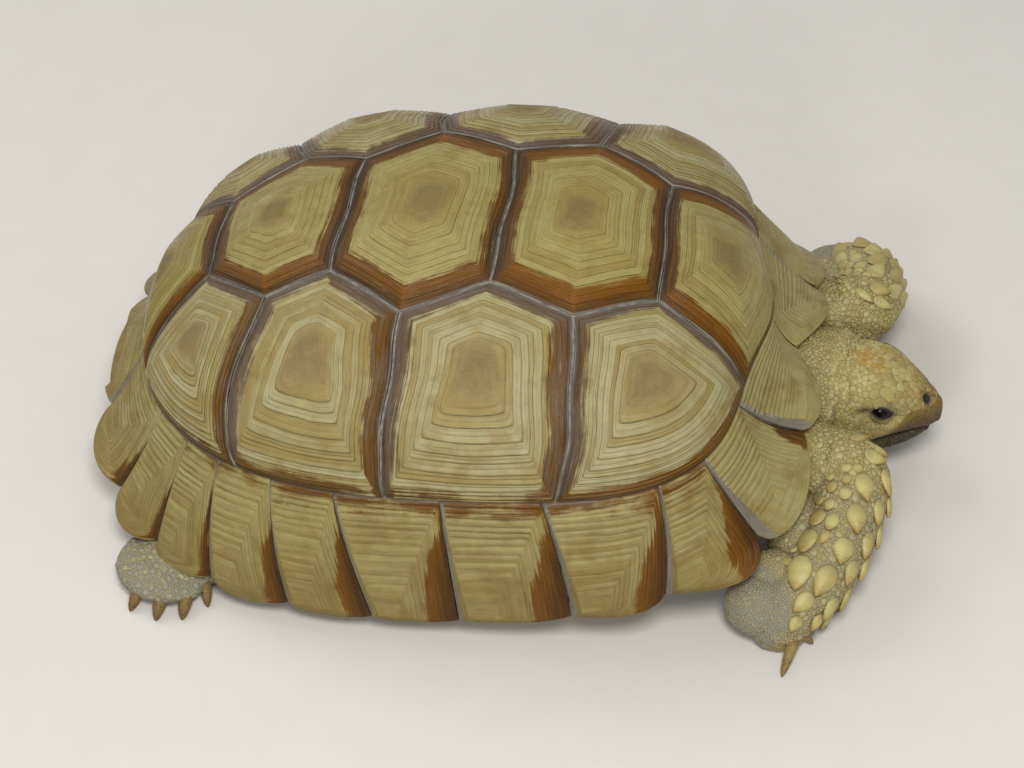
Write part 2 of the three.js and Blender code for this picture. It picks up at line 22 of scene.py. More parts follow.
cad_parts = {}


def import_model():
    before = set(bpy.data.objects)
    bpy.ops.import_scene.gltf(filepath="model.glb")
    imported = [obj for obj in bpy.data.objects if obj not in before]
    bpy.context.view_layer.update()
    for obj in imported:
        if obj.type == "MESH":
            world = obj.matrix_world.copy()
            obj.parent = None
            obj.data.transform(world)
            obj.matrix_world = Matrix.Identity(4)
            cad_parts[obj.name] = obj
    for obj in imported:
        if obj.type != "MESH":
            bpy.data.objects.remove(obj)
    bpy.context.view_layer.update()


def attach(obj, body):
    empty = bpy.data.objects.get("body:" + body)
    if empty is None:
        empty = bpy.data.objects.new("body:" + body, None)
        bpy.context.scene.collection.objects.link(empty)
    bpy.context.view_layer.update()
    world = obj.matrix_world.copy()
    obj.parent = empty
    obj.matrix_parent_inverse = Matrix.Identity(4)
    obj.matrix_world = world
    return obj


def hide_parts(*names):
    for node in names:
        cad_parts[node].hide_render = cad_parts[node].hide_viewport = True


LOG = logging.getLogger("tortoise")
MM = 0.001
TAU = 2 * math.pi
FLOOR = 0.05
Array = np.ndarray
Colour = tuple[float, float, float]
Point = tuple[float, float, float]
Ball = tuple[Point, Point]
Random = np.random.Generator
Material, Mesh, Piece = bpy.types.Material, bpy.types.Mesh, bpy.types.Object
Node, NodeTree, Socket = bpy.types.Node, bpy.types.NodeTree, bpy.types.NodeSocket


# ---- small helpers
def mix(a: Array | float, b: Array | float, t: Array | float) -> Array | float:
    """Blends from a to b by t."""
    return a + (b - a) * t


def smoothstep(low: float, high: float, x: Array | float) -> Array:
    """Rises smoothly from 0 at low to 1 at high."""
    t = np.clip((np.asarray(x, float) - low) / (high - low), 0, 1)
    return t * t * (3 - 2 * t)


def unit(v: Array) -> Array:
    """Scales each vector along the last axis to length 1."""
    return v / np.maximum(np.linalg.norm(v, axis=-1, keepdims=True), 1e-9)


def wrap(angle: Array | float) -> Array:
    """Brings angles in radians into the range from -pi to pi."""
    return np.arctan2(np.sin(angle), np.cos(angle))


def circle(count: int) -> Array:
    """Even angles once round."""
    return np.arange(count) / count * TAU


def stacked(*parts: Array | float) -> Array:
    """Joins coordinates into points."""
    return np.stack(np.broadcast_arrays(*parts), axis=-1)


def linear(colour: Colour) -> tuple[float, float, float, float]:
    """Turns a display colour of 0 to 255 into the linear colour that a shader takes."""
    parts = [c / 255 for c in colour]
    r, g, b = [c / 12.92 if c <= 0.04045 else ((c + 0.055) / 1.055) ** 2.4 for c in parts]
    return r, g, b, 1.0


def periodic_noise(rng: Random, count: int, waves: int) -> Array:
    """Smooth closed noise of about -1 to 1.

    Args:
        rng: Seeded source of chance.
        count: Samples round the loop.
        waves: The most waves round it.

    Returns:
        The noise at the samples.
    """
    a, total = circle(count), np.zeros(count)
    for k in range(1, waves + 1):
        total += rng.normal() * np.cos(k * a + rng.uniform(0, TAU)) / k ** 0.8
    return total / max(np.abs(total).max(), 1e-9)


def lattice(x: Array, y: Array, seed: int, wrap_x: int = 64) -> Array:
    """Smooth noise on a plane, of about -1 to 1 with one feature a unit.

    Args:
        x: First coordinates.
        y: Second coordinates.
        seed: Seed of the noise.
        wrap_x: Whole number of units after which it repeats along x.

    Returns:
        The noise at the places.
    """
    table = np.random.default_rng(seed).uniform(-1, 1, (64, 64))
    i, j = np.floor(x).astype(int), np.floor(y).astype(int)
    u, v = x - i, y - j
    u, v = u * u * (3 - 2 * u), v * v * (3 - 2 * v)
    i0, i1 = i % wrap_x % 64, (i + 1) % wrap_x % 64
    j0, j1 = j % 64, (j + 1) % 64
    return mix(mix(table[i0, j0], table[i1, j0], u), mix(table[i0, j1], table[i1, j1], u), v)


def away(points: Array, path: Sequence[Point]) -> Array:
    """Distance of points from a bent line.

    Args:
        points: The points, along the last axis.
        path: Corners of the line.

    Returns:
        The distances.
    """
    line = np.array(path, float)
    nearest = np.full(points.shape[:-1], 1e9)
    for a, b in zip(line[:-1], line[1:]):
        along = np.clip(((points - a) @ (b - a)) / ((b - a) @ (b - a)), 0, 1)
        nearest = np.minimum(nearest, np.linalg.norm(points - a - along[..., None] * (b - a), axis=-1))
    return nearest


def ball_ratio(points: Array, ball: Ball) -> Array:
    """Distance of points from a ball's middle, in its own radii."""
    return np.linalg.norm((points - np.array(ball[0])) / np.array(ball[1]), axis=1)


def between(table: Array, f: Array) -> tuple[Array, ...]:
    """Picks the rows of a table round places on it, with its ends drawn on.

    Args:
        table: The rows.
        f: Places, counted in rows.

    Returns:
        The four rows round each place, and the share between the middle two.
    """
    k = np.minimum(f.astype(int), len(table) - 2)
    q = np.vstack([2 * table[0] - table[1], table, 2 * table[-1] - table[-2]])
    return *(q[k + i] for i in range(4)), (f - k)[:, None]


def closed_ends(loop: Array) -> Array:
    """Adds a row at each end of a run of rings, drawn in to the ring's middle."""
    first, last = (np.repeat(row.mean(axis=1, keepdims=True), loop.shape[1], axis=1)
                   for row in (loop[:1], loop[-1:]))
    return np.concatenate([first, loop, last])


def above_floor(grid: Array, height: float = FLOOR) -> Array:
    """Keeps points above the floor."""
    return np.concatenate([grid[..., :2], np.maximum(grid[..., 2:], height)], axis=-1)


def search_tree(points: Array, keys: Optional[Collection[int]] = None) -> KDTree:
    """Makes points ready for a search by distance.

    Args:
        points: All points.
        keys: Those to search, or all.

    Returns:
        The search tree.
    """
    keys = range(len(points)) if keys is None else keys
    tree = KDTree(len(keys))
    for k in keys:
        tree.insert(points[k], k)
    tree.balance()
    return tree


def read(items: bpy.types.bpy_prop_collection, name: str, width: int, kind: type = np.float32) -> Array:
    """Reads one property of a mesh's items, a row an item."""
    data = np.empty(len(items) * width, kind)
    items.foreach_get(name, data)
    return data.reshape(-1, width)


def place_vertices(mesh: Mesh, points: Array) -> None:
    """Moves a mesh's vertices to points in millimetres."""
    mesh.vertices.foreach_set("co", np.ascontiguousarray(points * MM, np.float32).ravel())


def add_values(mesh: Mesh, values: dict[str, Array]) -> None:
    """Stores one number a vertex under each name."""
    for name, data in values.items():
        layer = mesh.attributes.new(name, "FLOAT", "POINT")
        layer.data.foreach_set("value", np.ascontiguousarray(data, np.float32).ravel())


def add_object(name: str, data: bpy.types.ID) -> Piece:
    """Puts a mesh, a lamp or a camera into the scene."""
    piece = bpy.data.objects.new(name, data)
    bpy.context.scene.collection.objects.link(piece)
    return piece


def new_mesh(name: str, start: Callable[..., object], **sizes: object) -> Mesh:
    """Makes a mesh with one of the bmesh operators that create a shape.

    Args:
        name: Name of the mesh.
        start: The operator.
        sizes: Its settings.

    Returns:
        The mesh.
    """
    bm = bmesh.new()
    start(bm, **sizes)
    mesh = bpy.data.meshes.new(name)
    bm.to_mesh(mesh)
    bm.free()
    return mesh


def finish_mesh(mesh: Mesh) -> None:
    """Joins vertices that lie together, and turns every face outward and smooth.

    Args:
        mesh: The mesh, which is changed.
    """
    bm = bmesh.new()
    bm.from_mesh(mesh)
    bmesh.ops.remove_doubles(bm, verts=bm.verts, dist=1e-7)
    bmesh.ops.dissolve_degenerate(bm, edges=bm.edges, dist=1e-8)
    bmesh.ops.recalc_face_normals(bm, faces=bm.faces)
    for f in bm.faces:
        f.smooth = True
    bm.to_mesh(mesh)
    bm.free()


def wrapped_body(name: str, rows: Array, values: Optional[dict[str, Array]] = None) -> Piece:
    """Wraps a grid into one closed body.

    Args:
        name: Name of the new object.
        rows: Points, rows by columns by 3; the first and the last row are poles.
        values: Numbers by name, rows by columns, stored on the vertices.

    Returns:
        The new object.
    """
    count, columns = rows.shape[:2]
    mesh = new_mesh(name, bmesh.ops.create_grid, x_segments=columns, y_segments=count - 1, size=1)
    place_vertices(mesh, np.concatenate([rows, rows[:, :1]], axis=1))
    add_values(mesh, {k: np.concatenate([v, v[:, :1]], axis=1) for k, v in (values or {}).items()})
    finish_mesh(mesh)
    return add_object(name, mesh)


def joined(name: str, bodies: Sequence[Piece]) -> Piece:
    """Joins several objects into one piece.

    Args:
        name: Name of the piece.
        bodies: The objects, which are removed.

    Returns:
        The piece.
    """
    bm = bmesh.new()
    for body in bodies:
        bm.from_mesh(body.data)
    mesh = bpy.data.meshes.new(name)
    bm.to_mesh(mesh)
    bm.free()
    for body in bodies:
        bpy.data.objects.remove(body)
    return add_object(name, mesh)


def settle(piece: Piece, material: Material, nodes: Sequence[str] = ()) -> None:
    """Gives a piece its material and its body, and hides the frame nodes it stands for.

    Args:
        piece: The piece.
        material: Its material.
        nodes: The frame nodes.
    """
    piece.data.materials.clear()
    piece.data.materials.append(material)
    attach(piece, "root")
    if nodes:
        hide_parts(*nodes)
    LOG.info("%s: %d faces", piece.name, len(piece.data.polygons))


# ---- material toolkit
class Tree:
    """A short way to lay out shader nodes."""

    def __init__(self, tree: NodeTree) -> None:
        """Keeps the node tree that the nodes go into."""
        self.tree = tree

    def node(self, kind: str, **settings: object) -> Node:
        """Adds a node of a kind and sets its properties.

        Args:
            kind: Type of the node.
            settings: Properties of the node with their values.

        Returns:
            The node.
        """
        made = self.tree.nodes.new(kind)
        for key, value in settings.items():
            setattr(made, key, value)
        return made

    def link(self, source: object, target: Socket) -> None:
        """Feeds a socket from another socket, or sets its plain value or its display colour.

        Args:
            source: Socket, number or colour to feed it with.
            target: The socket that is fed.
        """
        if isinstance(source, Socket):
            self.tree.links.new(source, target)
        else:
            target.default_value = linear(source) if isinstance(source, tuple) else source

    def feed(self, made: Node, **sources: object) -> Node:
        """Feeds a node's inputs by name, with _ for each space."""
        for key, source in sources.items():
            self.link(source, made.inputs[key.replace("_", " ")])
        return made

    def value(self, name: str) -> Socket:
        """Reads a number stored on the vertices."""
        return self.node("ShaderNodeAttribute", attribute_name=name).outputs["Fac"]

    def math(self, operation: str, a: object, b: object, clamp: bool = False) -> Socket:
        """Adds one arithmetic step.

        Args:
            operation: Name of the step.
            a: Its first value.
            b: Its second value.
            clamp: Whether the result is kept between 0 and 1.

        Returns:
            The result's socket.
        """
        made = self.node("ShaderNodeMath", operation=operation, use_clamp=clamp)
        self.link(a, made.inputs[0])
        self.link(b, made.inputs[1])
        return made.outputs[0]

    def plus(self, a: object, b: object, clamp: bool = False) -> Socket:
        """Adds two values."""
        return self.math("ADD", a, b, clamp)

    def times(self, a: object, b: object, clamp: bool = False) -> Socket:
        """Multiplies two values."""
        return self.math("MULTIPLY", a, b, clamp)

    def sway(self, value: Socket, share: float) -> Socket:
        """Gives a share of how far a value lies over one half."""
        return self.times(self.math("SUBTRACT", value, 0.5), share)

    def step(self, value: object, low: float, high: float, to_low: float = 0.0,
             to_high: float = 1.0) -> Socket:
        """Adds a smooth step of a value from low to high."""
        made = self.node("ShaderNodeMapRange", interpolation_type="SMOOTHSTEP")
        return self.feed(made, Value=value, From_Min=low, From_Max=high, To_Min=to_low,
                         To_Max=to_high).outputs["Result"]

    def mixed(self, share: object, a: object, b: object) -> Socket:
        """Mixes two colours by a share."""
        return self.feed(self.node("ShaderNodeMix", data_type="RGBA"), Factor=share, A=a,
                         B=b).outputs["Result"]

    def over(self, colour: object, other: object, value: object, low: float, high: float,
             most: float = 1.0) -> Socket:
        """Lays another colour over one, up to a share, as a value steps from low to high."""
        return self.mixed(self.step(value, low, high, 0.0, most), colour, other)

    def noise(self, vector: object, scale: float, detail: float = 4.0, rough: float = 0.55,
              distortion: float = 0.0) -> Socket:
        """Adds noise of a scale, centred on one half."""
        made = self.node("ShaderNodeTexNoise", noise_dimensions="3D")
        return self.feed(made, Vector=vector, Scale=scale, Detail=detail, Roughness=rough,
                         Distortion=distortion).outputs["Fac"]

    def combine(self, x: object, y: object, z: object) -> Socket:
        """Joins three numbers into a vector."""
        return self.feed(self.node("ShaderNodeCombineXYZ"), X=x, Y=y, Z=z).outputs[0]

    def position(self) -> Socket:
        """Gives the place on the object, in metres."""
        return self.node("ShaderNodeTexCoord").outputs["Object"]

    def grain(self, group: NodeTree, scale: float, seed: object) -> tuple[Socket, Socket]:
        """Places the grain group and gives its mottling and its pores."""
        made = self.feed(self.node("ShaderNodeGroup", node_tree=group), Scale=scale, Seed=seed)
        return made.outputs["Mottle"], made.outputs["Pores"]


class Surface(Tree):
    """A material that is laid out round its Principled shader."""

    def __init__(self, name: str) -> None:
        """Starts the material.

        Args:
            name: Name of the material.
        """
        self.material = bpy.data.materials.new(name)
        self.material.use_nodes = True
        super().__init__(self.material.node_tree)
        self.shader = self.tree.nodes["Principled BSDF"]

    def done(self, colour: object, roughness: object, relief: Optional[tuple[Socket, float, float]] = None,
             gloss: float = 0.5) -> Material:
        """Feeds the shader.

        Args:
            colour: The surface's colour.
            roughness: Its roughness.
            relief: Height of its fine relief, with the depth in metres and the strength.
            gloss: Level of its plain reflection.

        Returns:
            The material.
        """
        self.feed(self.shader, Base_Color=colour, Roughness=roughness)
        if relief:
            height, depth, strength = relief
            bump = self.feed(self.node("ShaderNodeBump"), Strength=strength, Distance=depth, Height=height)
            self.link(bump.outputs["Normal"], self.shader.inputs["Normal"])
        self.shader.inputs["Specular IOR Level"].default_value = gloss
        return self.material


def new_group(name: str, inputs: dict[str, float], outputs: dict[str, str]) -> tuple[Tree, Node, Node]:
    """Starts a shader node group.

    Args:
        name: Name of the group.
        inputs: Starting value of each number that it takes.
        outputs: Socket kind of each output.

    Returns:
        The group's tree, its input node and its output node.
    """
    tree = bpy.data.node_groups.new(name, "ShaderNodeTree")
    for label, start in inputs.items():
        socket = tree.interface.new_socket(label, in_out="INPUT", socket_type="NodeSocketFloat")
        socket.default_value = start
    for label, kind in outputs.items():
        tree.interface.new_socket(label, in_out="OUTPUT", socket_type=kind)
    made = Tree(tree)
    return made, made.node("NodeGroupInput"), made.node("NodeGroupOutput")


def grain_group() -> NodeTree:
    """Fine mottling and pores, shared by horn, skin and claws.

    Returns:
        The node group.
    """
    t, start, end = new_group("Grain", {"Scale": 400.0, "Seed": 0.0},
                              {"Mottle": "NodeSocketFloat", "Pores": "NodeSocketFloat"})
    place = t.node("ShaderNodeVectorMath", operation="ADD")
    t.link(t.position(), place.inputs[0])
    t.link(t.combine(start.outputs["Seed"], start.outputs["Seed"], 0.0), place.inputs[1])
    scaled = t.node("ShaderNodeVectorMath", operation="SCALE")
    t.link(place.outputs[0], scaled.inputs[0])
    t.link(start.outputs["Scale"], scaled.inputs["Scale"])
    t.feed(end, Mottle=t.noise(scaled.outputs[0], 0.25, 3.0),
           Pores=t.noise(scaled.outputs[0], 2.2, 5.0, 0.65))
    return t.tree


@dataclass(frozen=True)
class HornFinish:
    """Colours of one kind of horn plate, from its middle out to the seam."""

    name: str
    areola: Colour
    straw: Colour
    straw_deep: Colour
    line: Colour
    band: Colour
    band_dark: Colour
    margin: Colour
    pale: Colour = (146, 142, 128)
    roughness: float = 0.28
    gloss: float = 0.24

    def material(self, grain: NodeTree) -> Material:
        """Builds the material, which reads ring, band, edge, groove, tone, dark, violet and seed.

        Args:
            grain: The shared grain group.

        Returns:
            The material.
        """
        t = Surface(self.name)
        place = t.position()
        x, y, z = t.feed(t.node("ShaderNodeSeparateXYZ"), Vector=place).outputs[:3]
        ring, seed, tone, violet = (t.value(name) for name in ("ring", "seed", "tone", "violet"))
        shifted, across = t.plus(ring, t.times(seed, 7.0)), t.plus(y, z)

        def streaks(quick: float, slow: float, detail: float) -> Socket:
            """Noise that is quick across the rings and slow along them."""
            return t.noise(t.combine(t.times(shifted, quick), t.times(x, slow), t.times(across, slow)),
                           1.0, detail, 0.62)

        streak, fine, patch = streaks(46.0, 26.0, 5.0), streaks(170.0, 50.0, 3.0), streaks(24.0, 42.0, 3.0)
        blot = t.noise(place, 52.0, 4.0, 0.6)
        mottle, pores = t.grain(grain, 700.0, seed)
        # straw rings of slightly different tones, dull and rough in the middle
        straw = t.over(self.straw, self.straw_deep, t.plus(t.times(streak, 0.8), t.times(tone, 0.4)), 0.35,
                       0.95)
        straw = t.over(straw, self.straw_deep, blot, 0.46, 0.7, 0.75)
        middle = t.step(t.plus(ring, t.sway(blot, 0.25)), 0.1, 0.3, 1.0, 0.0)
        colour = t.mixed(t.times(middle, 0.8), straw, t.over(self.areola, self.line, pores, 0.35, 0.7, 0.4))
        colour = t.mixed(t.times(t.step(fine, 0.56, 0.76, 0.0, 0.4), t.step(ring, 0.2, 0.4)), colour,
                         self.line)
        # the brown band near the seams: orange-brown, dark brown and grey-violet in streaks, with ragged ends
        ragged = t.plus(t.value("band"), t.plus(t.sway(streak, 0.24), t.sway(blot, 0.2)))
        brown = t.mixed(t.plus(t.value("dark"), t.sway(streak, 1.6), clamp=True), self.band, self.band_dark)
        dull = t.times(t.plus(violet, t.sway(patch, 2.2), clamp=True), t.step(violet, 0.0, 0.2))
        brown = t.over(t.mixed(dull, brown, self.margin), self.band_dark, fine, 0.5, 0.8, 0.45)
        brown = t.over(brown, self.straw_deep, patch, 0.66, 0.74, 0.6)
        colour = t.over(colour, brown, ragged, -0.025, 0.03)
        # dark lines in the ring grooves: partly the horn's own growth lines, partly painted shade under the
        # rings' lips
        lines = t.times(t.step(t.value("groove"), 0.2, 0.85),
                        t.step(t.plus(fine, streak), 0.6, 1.25, 0.4, 1.0))
        colour = t.mixed(t.times(lines, 0.85), colour, self.line)
        # the thin grey margin at the seam with its pale lines
        edge = t.step(t.plus(t.value("edge"), t.sway(streak, 0.04)), -0.008, 0.01)
        colour = t.mixed(t.times(edge, 0.85), colour, t.over(self.margin, self.pale, fine, 0.42, 0.6))
        rough = t.step(t.plus(fine, mottle), 0.6, 1.4, self.roughness - 0.1, self.roughness + 0.14)
        height = t.plus(t.times(fine, 0.7), t.times(pores, t.plus(t.times(middle, 1.4), 0.25)))
        return t.done(t.over(colour, self.line, mottle, 0.3, 0.75, 0.16), t.plus(t.times(middle, 0.2), rough),
                      (height, 0.0005, 0.9), self.gloss)


# ---- the shell's surface
@dataclass(frozen=True)
class ShellForm:
    """Outer surface of the shell: a dome, and a band of marginals down to the rim."""

    apex: float = 158.0
    dome_front: float = 128.0
    dome_rear: float = 176.0
    dome_half_width: float = 128.0
    dome_square: tuple[float, float] = (3.27, 2.55)
    dome_power: tuple[float, float] = (2.54, 1.73)
    nuchal_bump: float = 11.0
    base_z: tuple[float, ...] = (88.3, 12.5, -0.7, 0.4)
    rim_front: float = 159.5
    rim_rear: float = 195.5
    rim_half_width: float = 141.0
    rim_square: tuple[float, float] = (3.13, 3.2)
    nuchal_notch: float = 8.0
    rim_z: tuple[float, ...] = (38.0, 18.0, 23.3, -1.2, 1.7)
    waver: float = 0.005

    @staticmethod
    def series(terms: Sequence[float], angle: Array) -> Array:
        """Sums a cosine series at the angles."""
        return sum(term * np.cos(n * angle) for n, term in enumerate(terms))

    @staticmethod
    def bell(angle: Array, width: float) -> Array:
        """A bump of a width in degrees at the head end."""
        return np.exp(-(wrap(angle) / math.radians(width)) ** 2)

    @staticmethod
    def square(angle: Array, powers: tuple[float, float]) -> Array:
        """How far the plan reaches past an ellipse at the angles."""
        c, s = np.cos(angle), np.sin(angle)
        k = mix(powers[1], powers[0], (1 + c) / 2)
        return (np.abs(c) ** k + np.abs(s) ** k) ** (-1 / k)

    def dome(self, rho: Array, angle: Array) -> Array:
        """Points of the dome.

        Args:
            rho: From 0 at the top to 1 at the lower edge.
            angle: Angles round the body.

        Returns:
            The points.
        """
        r, c = np.sin(np.minimum(rho, 1) * math.pi / 2), np.cos(angle)
        h = np.maximum(1 - r ** self.dome_power[0], 0) ** (1 / self.dome_power[1])
        q = 1 + (self.square(angle, self.dome_square) - 1) * r * r
        reach = (self.dome_front + self.dome_rear) / 2 + (self.dome_front - self.dome_rear) / 2 * c * r
        base = self.series(self.base_z, angle)
        return stacked(reach * r * c * q + self.nuchal_bump * r ** 4 * self.bell(angle, 14),
                       self.dome_half_width * r * np.sin(angle) * q, base + (self.apex - base) * h)

    def rim(self, angle: Array) -> Array:
        """Points of the rim.

        Args:
            angle: Angles round the shell.

        Returns:
            The rim's points at these angles.
        """
        q, c = self.square(angle, self.rim_square), np.cos(angle)
        reach = (self.rim_front + self.rim_rear) / 2 + (self.rim_front - self.rim_rear) / 2 * c
        return stacked(reach * q * c - self.nuchal_notch * self.bell(angle, 9),
                       self.rim_half_width * q * np.sin(angle), self.series(self.rim_z, angle))

    def band(self, v: Array, angle: Array) -> Array:
        """Points of the band of marginals.

        Args:
            v: From 0 at the dome to 1 at the rim and on past it.
            angle: Angles round the body.

        Returns:
            The points.
        """
        top, rim = self.dome(np.ones_like(angle), angle), self.rim(angle)
        flare = np.cos(angle) ** 2
        plan = mix(0.8, 0.35, flare)
        knee = mix(top, rim, stacked(plan, plan, mix(0.35, 0.7, flare)))
        w = np.clip(v, 0, 1)[..., None]
        inside = top * (1 - w) ** 2 + knee * 2 * w * (1 - w) + rim * w * w
        out = unit((rim - knee) * np.array([1, 1, 0.4]))
        return inside + out * (np.maximum(v - 1, 0) * 60)[..., None]

    def point(self, rho: Array, angle: Array) -> Array:
        """Points of the whole surface; rho is above 1 on the band."""
        rho, angle = np.broadcast_arrays(np.asarray(rho, float), np.asarray(angle, float))
        return np.where((rho <= 1)[..., None], self.dome(rho, angle), self.band(rho - 1, angle))

    def inward(self, rho: Array, angle: Array) -> Array:
        """Directions from the surface into the body.

        Args:
            rho: Radii on the surface, above 1 on the band.
            angle: Angles round the body.

        Returns:
            The directions.
        """
        rho, angle = np.broadcast_arrays(np.asarray(rho, float), np.asarray(angle, float))
        p = self.point(np.minimum(rho, 1), angle)
        dome = unit(stacked(p[..., 0] * 0.45, p[..., 1] * 0.2, self.series(self.base_z, angle) - 10) - p)
        flare = np.cos(angle) ** 2
        flat = mix(0.95, 0.5, flare)
        rim = stacked(-np.cos(angle) * flat, -np.sin(angle) * flat, -mix(0.3, 0.85, flare))
        return unit(mix(dome, rim, np.clip(rho - 1, 0, 1)[..., None]))

    def at(self, rho: Array, angle: Array, depth: Array | float) -> Array:
        """Points at a depth under the surface, or over it where the depth is negative."""
        return self.point(rho, angle) + self.inward(rho, angle) * np.asarray(depth, float)[..., None]

    def chart(self, pq: Array) -> tuple[Array, Array]:
        """Reads the dome's flat chart, with a slight wander of the seams.

        Args:
            pq: Places on the chart.

        Returns:
            Radii and angles on the surface.
        """
        p, q = pq[..., 0], pq[..., 1]
        hold = 1 - np.clip(np.hypot(p, q), 0, 1) ** 6
        dp = self.waver * hold * (np.sin(9 * q + 4 * p + 1.0) + 0.6 * np.sin(23 * q - 7 * p))
        dq = self.waver * hold * (np.sin(8 * p + 3 * q) + 0.6 * np.sin(21 * p + 5 * q + 2.0))
        dq = dq * np.clip(np.abs(q) * 6, 0, 1)
        return np.hypot(p + dp, q + dq), np.arctan2(q + dq, p + dp)


SHELL = ShellForm()


class PlateKind(Enum):
    """The rows of horn plates on the carapace."""

    VERTEBRAL = "vertebral"
    COSTAL = "costal"
    MARGINAL = "marginal"


@dataclass
class Plate:
    """One horn plate with its growth rings, as a closed mesh.

    Attributes:
        name: The frame node it stands for.
        kind: Its row on the shell.
        loop: Its outline on the chart, one place a column.
        fore: How much each column looks to the head end, from -1 to 1.
        down: How much each column looks to the rim, from -1 to 1.
        centre: Where the rings start from, on the chart; a marginal has a place a column.
        seed: Seed of its own irregularities.
        wedge: Size of the brown wedge along a marginal's front seam.
        corners: Angles of a marginal's front and rear corners, at the dome and at the rim.
        strip: Width of the grey strip along a marginal's rear seam, as a share of the plate's width.
        tone: How much deeper its straw is.
    """

    name: str
    kind: PlateKind
    loop: Array
    fore: Array
    down: Array
    centre: Array
    seed: int
    wedge: float = 1.0
    corners: tuple[float, ...] = ()
    strip: float = 0.045
    tone: float = 0.0
    seam_gap: float = 0.42

    def __post_init__(self) -> None:
        """Notes whether the plate is a marginal."""
        self.marginal = self.kind is PlateKind.MARGINAL

    def pick(self, vertebral: object, costal: object, marginal: object) -> object:
        """Picks the value of the plate's kind."""
        return dict(zip(PlateKind, (vertebral, costal, marginal)))[self.kind]

    def rings(self, rng: Random) -> tuple[Array, Array, Array, Array]:
        """Lays out the growth rings, from the middle out.

        Args:
            rng: Seeded source of chance.

        Returns:
            Ring radius, ridge height, groove strength and tone of each row.
        """
        start, majors, parts = self.pick((0.21, 9, 3), (0.2, 11, 2), (0.12, 13, 1))
        rows = [(s, 0.2, 0.0, 0.4) for s in np.linspace(0, start, 6)[:-1]]
        widths = rng.uniform(0.7, 1.4, majors) * np.linspace(1.2, 0.85, majors)
        bounds = start + (0.985 - start) * np.concatenate([[0], np.cumsum(widths) / widths.sum()])
        for a, b in zip(bounds[:-1], bounds[1:]):
            tone, deep = rng.uniform(0, 1), rng.uniform(0.7, 1.0)
            for m in range(parts):
                c, d = mix(a, b, m / parts), mix(a, b, (m + 1) / parts)
                low, high = 0.0 if m == 0 else 0.5, 1.0 if m == parts - 1 else 0.7 if m == 0 else 0.8
                groove = 0.3 if c == start else deep if m == 0 else 0.45
                rows += [(c, low, groove, tone), (mix(c, d, 0.16), mix(low, high, 0.55), 0.1, tone),
                         (mix(c, d, 0.55), mix(low, high, 0.85), 0.0, tone),
                         (mix(c, d, 0.87), high, 0.0, tone)]
        return tuple(np.array(rows + [(0.985, 0.2, 0.9, 0.5)]).T)

    def place(self, s: Array, loop: Array) -> tuple[Array, Array]:
        """Turns ring radii and outline places into radius and angle on the shell."""
        spot = self.centre + s[..., None] * (loop - self.centre)
        return (1 + spot[..., 1], spot[..., 0]) if self.marginal else SHELL.chart(spot)

    def by_side(self, plain: float, fore: float = 0, rear: float = 0, down: float = 0,
                up: float = 0) -> Array:
        """Blends a number round the plate by the way that each column looks."""
        return plain + fore * np.maximum(self.fore, 0) + rear * np.maximum(-self.fore, 0) \
            + down * np.maximum(self.down, 0) + up * np.maximum(-self.down, 0)

    def colours(self, s: Array, spot: Array) -> dict[str, Array]:
        """Lays out the brown band and the grey margin.

        Args:
            s: Ring radius of each vertex, rows by columns.
            spot: Place of each vertex on the chart.

        Returns:
            How far each place lies inside the band and the margin, and how dark and how grey the band is.
        """
        late = smoothstep(0.84, 0.97, s)
        if self.kind is PlateKind.VERTEBRAL:
            band, edge = s - self.by_side(0.8, 0, -0.02, -0.05), s - 0.976
            dark, violet = self.by_side(0, 0.45, 0.5) + 0.5 * late, self.by_side(0, 0.1, 0.15) + 0 * s
        elif self.kind is PlateKind.COSTAL:
            band = (s - self.by_side(0.87, -0.14, -0.09, 0, 0.01)) * self.by_side(1, 0, -0.4)
            band = np.minimum(band, self.by_side(1, 0, 0, -1.02))
            dark = self.by_side(0.25, 0.05, 0.15, -0.1) + 0.45 * late
            violet = self.by_side(0, 0.2, 0.4, -0.1, 0.5) + 0 * s
            edge = s - self.by_side(0.968, 0, 0.005, 0.012)
        else:
            front, rear, low_front, low_rear = self.corners
            v = np.clip(spot[..., 1], 0, 1)
            front, rear = mix(front, low_front, v), mix(rear, low_rear, v)
            u = np.clip((spot[..., 0] - front) / (rear - front), 0, 1)
            wide = self.wedge * mix(0.03, 0.36, smoothstep(0.05, 1.0, v))
            rim = 0.3 * smoothstep(0.93, 1.0, s) * np.maximum(self.down, 0)
            band = np.maximum(wide - u, 0.5 * (0.09 - v)) - 0.14 * max(1 - self.wedge, 0) - rim
            dark = 0.75 * smoothstep(0.9, 0.05, u / np.maximum(wide, 0.02)) + 0.2 * smoothstep(0.12, 0.0, v)
            violet = 0.15 * smoothstep(0.2, 0.0, v) + 0 * s
            edge = np.maximum(s - 0.985, u - 1 + self.strip * mix(0.55, 1.0, v)) - rim
        return {"band": band, "edge": edge, "dark": dark, "violet": violet}

    def outer(self, rng: Random, rows: tuple[Array, ...]) -> tuple[Array, Array]:
        """Shapes the outer face.

        Args:
            rng: Seeded source of chance.
            rows: What rings gives.

        Returns:
            Its points, row by row, and their places on the chart.
        """
        columns = len(self.loop)
        s = rows[0][:, None]
